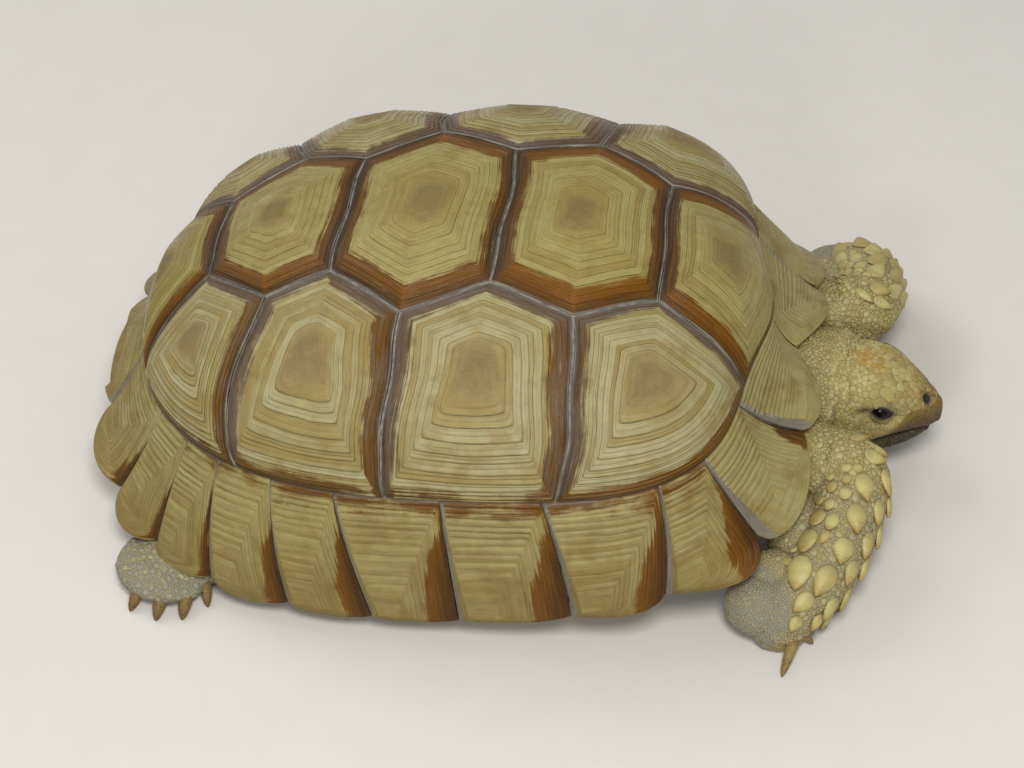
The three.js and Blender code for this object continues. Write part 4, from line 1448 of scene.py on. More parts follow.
@dataclass
class Skin:
    """One skin over the trunk, neck, head, legs and tail."""

    inset: float = 1.1
    low: float = 16.2
    soften: float = 5.0

    @staticmethod
    def neck_folds(t: Array, angle: Array) -> Array:
        """Loose rings of skin round the neck, deepest at the throat."""
        rings = np.cos((t * 17 + 0.35 * lattice(angle / TAU * 7, t * 6, 5, 7) * 2.2) * TAU)
        depth = 0.35 + 0.45 * smoothstep(0.3, -0.7, np.sin(angle))
        return depth * (rings - 0.4) * smoothstep(0.25, 0.5, t) - 0.35

    @staticmethod
    def fore_folds(t: Array, angle: Array) -> Array:
        """Folds of a foreleg, at the shoulder and in the elbow's crook."""
        folds = np.cos((t * 13 + lattice(angle / TAU * 6, t * 9, 8, 6) * 0.8) * TAU)
        return folds * (0.5 * smoothstep(0.42, 0.3, t) + 0.25) - 0.3

    @staticmethod
    def hind_folds(t: Array, angle: Array) -> Array:
        """Heavy folds of a hind leg."""
        folds = np.cos((t * 10 + lattice(angle / TAU * 5, t * 7, 9, 5) * 0.9) * TAU)
        return 0.75 * folds * smoothstep(0.9, 0.6, t) - 0.4

    @staticmethod
    def tail_folds(t: Array, angle: Array) -> Array:
        """Rings of the tail."""
        return 0.3 * np.cos((t * 16 + 0.3 * lattice(angle, t * 8, 4)) * TAU) - 0.2

    def trunk(self) -> Array:
        """Shapes the trunk's skin.

        Returns:
            Its points as a closed grid.
        """
        angle = circle(112)
        c, s, rim, flare = np.cos(angle), np.sin(angle), SHELL.rim(angle), np.cos(angle) ** 2
        rho = np.array([0, 0.12, 0.25, 0.4, 0.55, 0.7, 0.8, 0.9, 1.0, 1.15, 1.3])[:, None]
        upper = SHELL.at(rho, angle[None], 12.2 + 4 * smoothstep(1, 1.3, rho) + 0 * angle)
        belt, foot = mix(0.88, 0.76, flare) - 0.008, mix(0.84, 0.66, flare) - 0.008
        rows = []
        for share in np.linspace(0, 1, 12):
            pull, z = mix(belt, foot, share ** 1.3), mix(mix(self.low + 12, 50, flare), self.low, share)
            folds = 0.9 * np.cos(share * 14 + 3 * lattice(angle * 4, share * 3 + 0 * flare, 12)) \
                * math.sin(math.pi * share)
            rows.append(stacked(rim[:, 0] * pull + folds * c, rim[:, 1] * pull + folds * s, z))
        rows.append(stacked(rim[:, 0] * foot * 0.5, rim[:, 1] * foot * 0.5, self.low))
        rows.append(stacked(-18.0 + 0 * angle, 0.0, self.low))
        return np.concatenate([upper, np.stack(rows)])

    def pad(self, centre: Point, radii: Point) -> Array:
        """Shapes a foot pad, flat where it stands, or another round mass.

        Args:
            centre: Its middle.
            radii: Its radii.

        Returns:
            Its points as a closed grid.
        """
        lift, turn = np.linspace(math.pi / 2, -math.pi / 2, 44)[:, None], circle(80)[None]
        ball = stacked(np.cos(lift) * np.cos(turn), np.cos(lift) * np.sin(turn), np.sin(lift))
        crumple = 0.35 * lattice(turn * 5 + 0 * lift, lift * 6 + 0 * turn, 21) * np.cos(lift)
        return above_floor(np.array(centre) + ball * (np.array(radii) - self.inset)
                           + ball * crumple[..., None])

    @staticmethod
    def bowl() -> Array:
        """Shapes the space of the carapace and above it, which no skin enters.

        Returns:
            Its points as a closed grid.
        """
        angle = circle(144)[None]
        rho = np.array([0, 0.4, 0.75, 0.95, 1, 1.35, 1.7, 2, 2.3])[:, None]
        rho = np.minimum(rho, np.where(np.cos(angle) > 0, 2.3, 2.19))
        inner = SHELL.at(rho, angle, np.where(rho > 1, mix(7, 5.5, rho - 1), 7.0) + 1.6)
        return np.concatenate([SHELL.at(rho, angle, np.full(rho.shape, -15.0)), inner[::-1]])

    def parts(self) -> list[Array]:
        """Shapes all parts that the skin is joined from.

        Returns:
            Their closed grids, the trunk's first.
        """
        neck, tail = LIMBS[Region.NECK], LIMBS[Region.TAIL]
        grids = [self.trunk(), neck.skin(110, 96, self.inset, self.neck_folds), HEAD.sculpted(), HEAD.chin(),
                 above_floor(tail.skin(70, 48, self.inset, self.tail_folds))]
        for leg in LEGS:
            folds = self.fore_folds if leg.swellings else self.hind_folds
            grids.append(above_floor(leg.skin(110, 72, self.inset, folds)))
            grids += [self.pad(*ball) for ball in leg.balls()]
        return grids

    def join(self) -> Mesh:
        """Joins the parts into one closed mesh, and cuts it back under the carapace.

        Returns:
            The mesh.
        """
        bodies = [wrapped_body(f"skin_part_{k}", grid) for k, grid in enumerate(self.parts() + [self.bowl()])]
        first = bodies[0]
        for other in bodies[1:]:
            step = first.modifiers.new("join", "BOOLEAN")
            step.operation = "DIFFERENCE" if other is bodies[-1] else "UNION"
            step.solver = "MANIFOLD"
            step.object = other
        graph = bpy.context.evaluated_depsgraph_get()
        mesh = bpy.data.meshes.new_from_object(first.evaluated_get(graph))
        for body in bodies:
            bpy.data.objects.remove(body)
        bm = bmesh.new()
        bm.from_mesh(mesh)
        bmesh.ops.triangulate(bm, faces=bm.faces)
        bmesh.ops.remove_doubles(bm, verts=bm.verts, dist=2e-5)
        bmesh.ops.recalc_face_normals(bm, faces=bm.faces)
        for f in bm.faces:
            f.smooth = True
        bm.to_mesh(mesh)
        bm.free()
        mesh.name = "skin"
        return mesh

    def smooth_joints(self, mesh: Mesh) -> None:
        """Rounds the skin where two of its parts meet.

        Args:
            mesh: The skin's mesh, which is changed.
        """
        count = len(mesh.vertices)
        bm = bmesh.new()
        bm.from_mesh(mesh)
        sharp = {v.index for e in bm.edges if e.is_manifold and e.calc_face_angle(0) > math.radians(38)
                 for v in e.verts}
        bm.free()
        co = read(mesh.vertices, "co", 3).astype(float)
        tree = search_tree(co, sharp)
        near = smoothstep(self.soften, 0.5, np.array([tree.find(p)[2] for p in co]) / MM)
        in_head = HEAD.local(co / MM)
        weight = near * smoothstep(-14, -20, in_head[:, 0] * (np.abs(in_head[:, 1]) < 40))
        weight = np.where(in_head[:, 0] < -60, near, weight)
        edges = read(mesh.edges, "vertices", 2, np.int32)
        start, end = np.concatenate([edges, edges[:, ::-1]]).T
        degree = np.bincount(start, minlength=count)[:, None]
        for _ in range(14):
            total = stacked(*(np.bincount(start, weights=co[end, k], minlength=count) for k in range(3)))
            co = mix(co, total / np.maximum(degree, 1), 0.6 * weight[:, None])
        mesh.vertices.foreach_set("co", co.astype(np.float32).ravel())
        mesh.update()

    def build(self) -> Piece:
        """Builds the skin's mesh."""
        mesh = self.join()
        self.smooth_joints(mesh)
        return add_object("skin", mesh)


class Markings:
    """Where the hide's colours lie; the skin and its scales both ask here."""

    NAMES = ("warm", "olive", "grey", "brown", "dark")

    @staticmethod
    def spot(h: Array, centre: Point, radii: Point) -> Array:
        """A soft round spot on both sides of the head."""
        both = np.stack([((h - np.array(centre) * [1, s, 1]) / np.array(radii)) for s in (1, -1)])
        return np.exp(-(both ** 2).sum(axis=-1)).max(axis=0)

    @staticmethod
    def unrolled(region: Region, points: Array) -> tuple[Array, Array, Array]:
        """Unrolls a region into a flat chart.

        Args:
            region: The region.
            points: The points, n by 3.

        Returns:
            Place along it, angle round it, and how far out of it the points lie.
        """
        if region in LIMBS:
            t, a, ratio = LIMBS[region].chart(points)
            return t, a, np.minimum.reduce([ratio,
                                            *(ball_ratio(points, ball) for ball in LIMBS[region].balls())])
        if region is Region.HEAD:
            h = HEAD.local(points)
            inside = (h[:, 0] > -24) & (h[:, 0] < 40) & (np.abs(h[:, 1]) < 28) & (h[:, 2] > -31)
            ratio = np.where(inside, mix(1.25, 0.2, smoothstep(-24, -17, h[:, 0])), 9.0)
            return (h[:, 0] + 34) / 70, np.arctan2(h[:, 2], h[:, 1]), ratio
        return points[:, 2] / 170, np.arctan2(points[:, 1], points[:, 0]), np.full(len(points), 1.22)

    @classmethod
    def regions(cls, points: Array) -> tuple[Array, Array]:
        """Sorts points by the part of the body they lie on.

        Args:
            points: The points, n by 3.

        Returns:
            Index of the region of each in Region, and its place along that.
        """
        t, _, ratios = (np.stack(rows) for rows in zip(*(cls.unrolled(region, points) for region in Region)))
        near_leg = np.where(np.array([region.fore for region in Region])[:, None], ratios, 9.0)
        best = np.where(near_leg.min(axis=0) < 1.06, near_leg.argmin(axis=0), ratios.argmin(axis=0))
        return best, np.take_along_axis(t, best[None], axis=0)[0]

    @classmethod
    def at(cls, points: Array) -> dict[str, Array]:
        """Gives the strength of each marking; dark also holds painted shade.

        Args:
            points: Points of the body, n by 3.

        Returns:
            The strengths by the marking's name.
        """
        best, t = cls.regions(points)
        h = HEAD.local(points)
        x, y, z = points.T
        on_head = (best == list(Region).index(Region.HEAD)).astype(float)
        wobble = lattice(x * 0.28, y * 0.28, 3) * 0.6 + lattice(x * 0.7 + 9, y * 0.7 + z * 0.3, 4) * 0.4
        warm = (cls.spot(h, (-4.0, 1.5, 23.5), (6.5, 5, 6)) * 0.9
                + cls.spot(h, (4.0, 6.5, 22.0), (4, 3, 5)) * 0.7)
        warm += (0.3 * cls.spot(h, (21.0, 8.0, 13.0), (8, 6, 6))
                 + 0.25 * cls.spot(h, (2.0, 22.0, -8.0), (12, 6, 4)))
        warm = np.clip(warm * (1 + 1.1 * wobble), 0, 1) * on_head
        olive = (cls.spot(h, (3.0, 23.0, 5.5), (11, 5, 4.6)) * 0.8
                 + 0.4 * cls.spot(h, (16.0, 14.0, 8.0), (8, 6, 5)))
        olive = np.clip(olive, 0, 1) * on_head
        brown = smoothstep(16, 30, h[:, 0]) * smoothstep(-9, 4, h[:, 2] + 6 * wobble) * on_head * 0.85
        brown = np.maximum(brown, on_head * 0.45 * smoothstep(-3, -11, h[:, 2]) * smoothstep(-2, 10, h[:, 0]))
        # painted shade: dark in the nostril pits and in the hollows before and behind each eye; the three
        # small spots on the snout are the skin's own dark blotches
        dark = np.clip(1.8 * cls.spot(h, (27.0, 7.0, 7.0), (2.8, 2.6, 2.9)), 0, 1)
        for share, centre, radii in ((0.8, (-3.6, 23.8, 7.9), (4.2, 4.0, 1.9)),
                                     (0.7, (11.8, 20, 3.2), (3.6, 3.6, 1.4)),
                                     (0.7, (26.5, 3.2, 11.5), (1.6,) * 3), (0.7, (22, 6, 13.6), (1.0,) * 3),
                                     (0.7, (30.5, 3, 6.4), (1.2,) * 3)):
            dark = np.maximum(dark, share * cls.spot(h, centre, radii))
        # painted shade along the mouth line and under it
        dark = np.maximum(dark,
                          smoothstep(-12.6, -15.0, h[:, 2]) * smoothstep(-8, 4, h[:, 0]) * 0.85) * on_head
        grey = np.zeros(len(points))
        for k, region in enumerate(Region):
            if region.fore:
                pad = smoothstep(1.45, 1.1, ball_ratio(points, LIMBS[region].pad))
                shade = np.maximum(1.5 * pad, 0.5 * smoothstep(0.35, 0.5, t))
            else:
                shade = 0.7 + 0.9 * smoothstep(0.5, 0.9, t) if region.hind else {
                    Region.TRUNK: 0.5, Region.TAIL: 0.3}.get(region, 0.0)
            grey = np.where(best == k, shade, grey)
        grey = np.clip(grey + 0.2 * wobble * (1 - on_head), 0, 1.6)
        # painted shade: skin far in under the carapace's rim is darker
        rim = SHELL.rim(np.arctan2(y, x))
        deep = np.linalg.norm(points[:, :2], axis=1) / np.maximum(np.linalg.norm(rim[:, :2], axis=1), 1)
        dark = np.maximum(dark, 0.5 * smoothstep(0.93, 0.72, deep) * (z > rim[:, 2] - 2))
        return {"warm": warm, "olive": olive, "grey": grey, "brown": brown, "dark": np.clip(dark, 0, 1)}


@dataclass(frozen=True)
class Eye:
    """The eyeballs and their lids, in the head's frame.

    Attributes:
        centre: Middle of the left eyeball; the right one mirrors it.
        radius: Radius of the ball.
        look: Direction in which the left eye looks.
        slit: Direction of the left eye's opening, from its rear corner to its front one.
        half_long: Half length of the opening towards the rear and the front, in degrees.
        half_high: Half height of the opening above and below, in degrees.
        power: Roundness of the opening.
        brim: Where the lids end, in degrees off the looking direction.
        columns: Columns of the lids round the opening.
        folds: Rows of the lids from the opening's edge to the brim.
    """

    centre: Point = (4.8, 17.9, 5.6)
    radius: float = 6.1
    look: Point = (0.14, 0.93, 0.34)
    slit: Point = (0.937, -0.26, -0.232)
    half_long: tuple[float, float] = (66.0, 56.0)
    half_high: tuple[float, float] = (15.0, 23.0)
    power: float = 1.45
    brim: float = 84.0
    columns: int = 96
    folds: int = 16

    def axes(self, sign: int) -> tuple[Array, Array, Array]:
        """Finds the directions of one eye.

        Args:
            sign: 1 for the left eye, -1 for the right.

        Returns:
            Where it looks, along its slit, and up across the slit.
        """
        look = unit(np.array(self.look) * [1, sign, 1])
        slit = np.array(self.slit) * [1, sign, 1]
        slit = unit(slit - look * (slit @ look))
        up = np.cross(look, slit)
        return look, slit, up if up[2] > 0 else -up

    def world(self, points: Array, sign: int) -> Array:
        """Brings points from round the eye's middle into the body's frame."""
        return HEAD.world(np.array(self.centre) * [1, sign, 1] + points)

    def gap(self, h: Array) -> Array:
        """Distance of points of the head's frame from the nearer eye's middle."""
        return np.minimum(*(np.linalg.norm(h - np.array(self.centre) * [1, s, 1], axis=1) for s in (1, -1)))

    def ball(self, name: str, sign: int) -> Piece:
        """Builds one eyeball, turned so that its pole looks out.

        Args:
            name: Name of the piece.
            sign: 1 for the left eye, -1 for the right.

        Returns:
            The new object.
        """
        look, slit, up = self.axes(sign)
        mesh = new_mesh(name, bmesh.ops.create_uvsphere, u_segments=56, v_segments=40, radius=1)
        ball = read(mesh.vertices, "co", 3).astype(float)
        add_values(mesh, {"out": ball[:, 2]})
        swell = 1 + 0.045 * smoothstep(0.72, 0.95, ball[:, 2])
        place = (slit * ball[:, :1] + up * ball[:, 1:2] * np.sign(np.dot(np.cross(slit, up), look))
                 + look * ball[:, 2:]) * (self.radius * swell)[:, None]
        place_vertices(mesh, self.world(place, sign))
        finish_mesh(mesh)
        return add_object(name, mesh)

    def lids(self, name: str, sign: int) -> Piece:
        """Builds both lids of one eye as one fold of skin with its corners.

        Args:
            name: Name of the piece.
            sign: 1 for the left eye, -1 for the right.

        Returns:
            The new object.
        """
        look, slit, up = self.axes(sign)
        phi = circle(self.columns)
        c, s = np.cos(phi), np.sin(phi)
        wide, high = np.where(c > 0, *self.half_long[::-1]), np.where(s > 0, *self.half_high)
        opening = (np.abs(c / wide) ** self.power + np.abs(s / high) ** self.power) ** (-1 / self.power)

        def around(degrees: Array, reach: Array | float) -> Array:
            """Points at angles off the looking direction and distances from the ball's middle."""
            tilt = np.radians(degrees)[:, None]
            ring = slit * c[:, None] + up * s[:, None]
            return (look * np.cos(tilt) + ring * np.sin(tilt)) * (reach + 0 * c)[:, None]

        # tops paints shade: the lid's rim rows and the troughs of its folds take the darker cleft colour, the
        # fold crests the plain hide
        rows, tops = [np.zeros((self.columns, 3))], [0 * phi]
        for reach, more, top in ((5.2, -4.0, 0.05), (6.0, -1.0, 0.05), (6.25, 0.4, 0.05), (6.45, 1.6, 0.35),
                                 (6.6, 4.5, 0.35)):
            rows.append(around(opening + more, reach))
            tops.append(top + 0 * phi)
        for share in np.linspace(0.08, 1.0, self.folds):
            wave = np.cos(share * 5.2 * TAU)
            ripple = 0.13 * wave * (1 - share) + 0.05 * np.cos(phi * 23) * (1 - share)
            reach = mix(6.65, 7.4, share) + ripple + 0.45 * np.maximum(s, 0) * math.sin(math.pi * share)
            rows.append(around(mix(opening + 4.5, self.brim, share), reach))
            tops.append(0.5 + 0.4 * wave + 0 * phi)
        rows += [around(self.brim + 8 + 0 * phi, 6.4), np.tile(-look * 4.0, (self.columns, 1))]
        tops += [0.5 + 0 * phi] * 2
        grid = self.world(np.stack(rows), sign)
        shaped = {key: data.reshape(grid.shape[:2]) for key, data in Markings.at(grid.reshape(-1, 3)).items()}
        inner = (np.arange(len(rows)) - 5.0)[:, None] / self.folds + 0 * phi
        shaped["olive"] = np.maximum(shaped["olive"], smoothstep(0.9, 0.3, inner))
        # painted shade: darker in the recess round the ball, in the opening's corners and along the upper lid
        # under the brow
        shaped["dark"] = np.clip(smoothstep(0.22, 0.0, inner)
                                 + 0.4 * np.abs(c) ** 6 * smoothstep(0.8, 0.2, inner)
                                 + 0.35 * np.maximum(s, 0) * smoothstep(0.6, 0.1, inner), 0, 1)
        return wrapped_body(name, grid,
                            shaped | {"tone": np.full(grid.shape[:2], 0.5), "top": np.stack(tops)})


EYE = Eye()


def eye_material() -> Material:
    """Dark wet eye with a brown iris round a black pupil.

    Returns:
        The material.
    """
    t = Surface("eye")
    out, rays = t.value("out"), t.noise(t.position(), 1500.0, 3.0)
    iris = t.over((12, 8, 5), (26, 18, 11), rays, 0.35, 0.7)
    colour = t.mixed(t.step(out, 0.5, 0.62, 1.0, 0.0), t.over(iris, (5, 4, 4), out, 0.865, 0.885),
                     (26, 21, 15))
    t.feed(t.shader, Coat_Weight=0.12, Coat_Roughness=0.03)
    return t.done(colour, t.step(rays, 0.2, 0.8, 0.12, 0.22), gloss=0.18)


@dataclass(frozen=True)
class Beak:
    """The horny edges of both jaws, laid on the skin round the snout.

    Attributes:
        middle: Place on the head's length that the rays turn round.
        columns: Columns of each sheath round the snout.
        spans: Angle at which the upper and the lower sheath end on each side, in degrees.
        clear: Distance from the middle at which nothing of the head is left.
    """

    middle: float = 6.0
    columns: int = 120
    spans: tuple[float, float] = (84.0, 78.0)
    clear: float = 34.0

    @staticmethod
    def upper_edge(psi: Array) -> Array:
        """Height of the upper sheath's top edge at angles off the head's axis, in degrees."""
        return np.interp(np.abs(psi), (0, 18, 32, 50, 64, 76, 86), (4.2, 3.2, 4.2, 2.6, -2.5, -8.5, -12.8))

    @staticmethod
    def mouth(psi: Array) -> Array:
        """Height of the upper sheath's lower edge."""
        line = np.interp(np.abs(psi), (0, 10, 24, 50, 86), (-15.2, -13.6, -13.0, -13.4, -14.4))
        return line + (0.28 * np.cos(psi * 0.42) + 0.22 * np.cos(psi * 1.1)) * smoothstep(8, 20, np.abs(psi))

    @staticmethod
    def chin(psi: Array) -> Array:
        """Height of the lower sheath's bottom edge."""
        return np.interp(np.abs(psi), (0, 20, 45, 86), (-20.0, -22.0, -25.0, -26.2))

    @classmethod
    def covers(cls, h: Array) -> Array:
        """Tells which points of the head's frame lie under a sheath."""
        psi = np.degrees(np.arctan2(h[:, 1], h[:, 0] - cls.middle))
        near = (np.abs(psi) < cls.spans[0]) & (h[:, 0] > cls.middle) & (h[:, 2] < cls.upper_edge(psi) - 0.3)
        return near & (h[:, 2] > np.where(np.abs(psi) < 60, cls.chin(psi) + 0.5, cls.mouth(psi)))

    @staticmethod
    def tree(grid: Array) -> BVHTree:
        """Makes a surface ready for rays.

        Args:
            grid: Its points as a closed grid.

        Returns:
            The surface.
        """
        here = np.arange(grid[..., 0].size).reshape(grid.shape[:2])
        beside = np.roll(here, -1, axis=1)
        faces = stacked(here[:-1], beside[:-1], beside[1:], here[1:]).reshape(-1, 4)
        return BVHTree.FromPolygons([tuple(p) for p in grid.reshape(-1, 3)], faces.tolist())

    def sheath(self, name: str, jaw: Array, top: Callable[[Array], Array], low: Callable[[Array], Array],
               span: float, thick: float, rows: int, lip: float) -> Piece:
        """Builds one sheath as a closed band on the skin.

        Args:
            name: Name of the piece.
            jaw: The closed grid of the jaw that carries it.
            top: Height of its top edge at an angle.
            low: Height of its lower edge at an angle.
            span: Angle at which it ends on each side, in degrees.
            thick: Thickness over the skin.
            rows: Rows from its low edge to its top edge.
            lip: How far its low edge turns out and down.

        Returns:
            The new object.
        """
        tree, turn = self.tree(jaw), HEAD.matrix()
        psi, v = np.linspace(-span, span, self.columns), np.linspace(0, 1, rows)
        outer, inner = np.zeros((2, self.columns, rows, 3))
        for i, angle in enumerate(psi):
            out = np.array([math.cos(math.radians(angle)), math.sin(math.radians(angle)), 0])
            ends = math.sqrt(max(1 - (abs(angle) / span) ** 6, 0))
            for j, z in enumerate(mix(float(low(angle)), float(top(angle)), v)):
                start = np.array([self.middle, 0, z]) + out * self.clear
                hit = tree.ray_cast(Vector(HEAD.world(start)), Vector(turn @ -out), 60.0)[0] \
                    or tree.find_nearest(Vector(HEAD.world(start - out * 12)))[0]
                at, edge = HEAD.local(np.array(hit)), math.exp(-(v[j] / 0.12) ** 2)
                feather = min(1.0, (1 - v[j]) * 5 + 0.12) * (0.15 + 0.85 * ends)
                outer[i, j] = (at + out * (thick * feather + lip * edge * ends)
                               - [0, 0, lip * 0.6 * edge * ends])
                inner[i, j] = at - out * 1.1
        loop = closed_ends(np.concatenate([outer, inner[:, ::-1]], axis=1))
        level = np.concatenate([v, v[::-1]])[None] + np.zeros((len(loop), 1))
        along = np.concatenate([psi[:1], psi, psi[-1:]])[:, None] / 90 + 0 * level
        return wrapped_body(name, HEAD.world(loop), {"level": level, "along": along})

    def build(self, upper: Material, lower: Material) -> None:
        """Builds and dresses both sheaths.

        Args:
            upper: Finish of the upper sheath.
            lower: Finish of the lower sheath.
        """
        settle(self.sheath("upper_beak", HEAD.sculpted(), self.upper_edge, self.mouth,
                           span=self.spans[0], thick=0.62, rows=26, lip=0.5), upper)
        settle(self.sheath("lower_beak", HEAD.chin(), lambda psi: self.mouth(psi) + 0.4, self.chin,
                           span=self.spans[1], thick=0.55, rows=20, lip=0.0), lower, ["lower_jaw"])


@dataclass(frozen=True)
class BeakFinish:
    """Horn of a jaw's sheath or of claws, from its skin edge to its cutting edge."""

    name: str
    skin_edge: Colour
    middle: Colour
    cutting_edge: Colour
    speck: Colour

    def material(self, grain: NodeTree) -> Material:
        """Builds the material, which reads level and along off the vertices.

        Args:
            grain: The shared grain group.

        Returns:
            The material.
        """
        t = Surface(self.name)
        place, level, along = t.position(), t.value("level"), t.value("along")
        streak = t.noise(t.combine(t.times(along, 46.0), t.times(level, 2.2), 0.0), 1.0, 4.0, 0.6)
        share = t.plus(level, t.sway(t.noise(place, 420.0, 4.0, 0.6), 0.5))
        colour = t.over(self.cutting_edge, self.middle, share, 0.15, 0.5)
        colour = t.over(colour, self.skin_edge, share, 0.5, 0.92)
        colour = t.over(colour, self.cutting_edge, streak, 0.5, 0.72, 0.4)
        colour = t.over(colour, self.skin_edge, t.noise(place, 700.0, 3.0, 0.6), 0.5, 0.68, 0.5)
        colour = t.over(colour, self.speck, t.noise(place, 1000.0, 2.0, 0.5), 0.58, 0.66, 0.8)
        _, pores = t.grain(grain, 1500.0, 1.0)
        return t.done(colour, t.step(pores, 0.25, 0.75, 0.36, 0.55),
                      (t.plus(t.times(streak, 0.8), pores), 0.0003, 0.7), 0.3)


@dataclass(frozen=True)
class Claws:
    """The claws of one foot, as one piece of bent horn cones."""

    limb: Limb

    def cone(self, root: Point, tip: Point, radius: float) -> tuple[Array, Array]:
        """Shapes one claw.

        Args:
            root: Where it leaves the skin.
            tip: Its tip.
            radius: Its radius at the root.

        Returns:
            Its points as a closed grid, and their places from root to tip.
        """
        a, c = np.array(root, float), np.array(tip, float)
        a = a - unit(c - a) * 5.5
        b = mix(a, c, 0.55) + np.array([0, 0, radius * 0.55])
        s, angle = np.linspace(0, 1, 26), circle(24)
        at = a * (1 - s[:, None]) ** 2 + b * 2 * (s * (1 - s))[:, None] + c * (s ** 2)[:, None]
        ahead = unit(np.gradient(at, axis=0))
        side = unit(np.cross(ahead, [0, 0, 1.0]))
        wide = radius * 0.98 * (1 - s ** 2.6) ** 0.65 * mix(0.93, 1.0, np.sin(s * 40) * 0.5 + 0.5) + 0.12
        wide[0] = wide[-1] = 0
        flat = np.where(np.sin(angle) < 0, 0.55, 0.9)
        grid = at[:, None] + side[:, None] * (wide[:, None] * np.cos(angle))[..., None] \
            + np.cross(side, ahead)[:, None] * (wide[:, None] * flat * np.sin(angle))[..., None]
        return above_floor(grid), s[:, None] + 0 * angle

    def build(self, material: Material) -> None:
        """Builds and dresses the foot's claws.

        Args:
            material: Their material.
        """
        bodies = []
        for k, claw in enumerate(self.limb.claws):
            grid, level = self.cone(*claw)
            bodies.append(wrapped_body(f"claw_{k}", grid,
                                       {"level": level, "along": np.full(level.shape, k * 0.7)}))
        settle(joined(f"claws_{self.limb.name}", bodies), material)


@dataclass(frozen=True)
class Shield:
    """One large scale of a leg, on the limb's chart.

    Attributes:
        t: Place along the limb.
        angle: Angle round the limb, in degrees.
        length: Length from its root to its tip.
        width: Greatest width.
        turn: Turn of its tip off the limb's direction, in degrees.
        height: Height of its crown.
        point: From 0, round, to 1, drawn out to a point.
    """

    t: float
    angle: float
    length: float
    width: float
    turn: float = 0.0
    height: float = 2.0
    point: float = 1.0

    def frame(self, limb: Limb, side: int, inset: float) -> tuple[Array, Array, Array]:
        """Places the scale on a leg.

        Args:
            limb: The leg.
            side: 1 for the right leg, -1 for the left.
            inset: How deep the skin lies under the leg's solid.

        Returns:
            Its middle, its direction and the direction out of the skin.
        """
        at, out, ahead = limb.on(self.t, math.radians(self.angle * side), -inset)
        ahead = unit(ahead - out * (ahead @ out))
        turn = math.radians(-self.turn * side)
        return at, unit(ahead * math.cos(turn) + np.cross(out, ahead) * math.sin(turn)), out

    def body(self, at: Array, ahead: Array, out: Array, rng: Random, lift: float = 0.09) -> Piece:
        """Builds the scale.

        Args:
            at: Its middle on the skin.
            ahead: Its direction.
            out: Direction out of the skin.
            rng: Seeded source of chance.
            lift: Rise of its tip as a share of its length.

        Returns:
            The new object.
        """
        angle, peak, bend = circle(24), 0.4, 19.0
        c, sn = np.cos(angle), np.sin(angle)
        s = np.linspace(0, 1, 22)[:, None] ** 0.9
        root = np.sqrt(np.clip(1 - ((peak - s) / peak) ** 2, 0, 1))
        drawn = np.clip((s - peak) / (1 - peak), 0, 1) ** mix(2.0, 1.55, self.point)
        shape = np.where(s < peak, root, np.clip(1 - drawn, 0, 1) ** mix(0.5, 0.95, self.point))
        x = shape * self.width / 2 * np.sign(c) * np.abs(c) ** 0.85
        crown = self.height * (0.55 + 0.45 * np.sin(np.clip(s / 0.75, 0, 1) * math.pi / 2)) * shape ** 0.55
        ridge = (0.28 * self.point * self.height * np.exp(-(x / (0.22 * self.width)) ** 2)
                 * smoothstep(0.1, 0.7, s))
        up = np.where(sn > 0, np.abs(sn) ** 0.75 * crown + ridge * np.clip(sn * 2, 0, 1),
                      -0.55 * np.abs(sn) * np.maximum(crown, 0.3))
        growth = 0.07 * np.cos(s * 34 + 2 * np.abs(x)) * (sn > 0.1) * smoothstep(0, 0.2, s)
        up = up + growth - x ** 2 / (2 * bend) + lift * self.length * s ** 2.2
        y = (s - 0.45) * self.length + rng.uniform(-0.2, 0.2)
        grid = at + ahead * y[..., None] + np.cross(out, ahead) * x[..., None] + out * up[..., None]
        # low marks each scale's underside, which the material paints in shade
        return wrapped_body("shield", above_floor(grid), {"along": s + 0 * angle, "low": (sn <= 0) + 0 * s,
                                                          "tone": np.full(x.shape, rng.uniform(0, 1))})


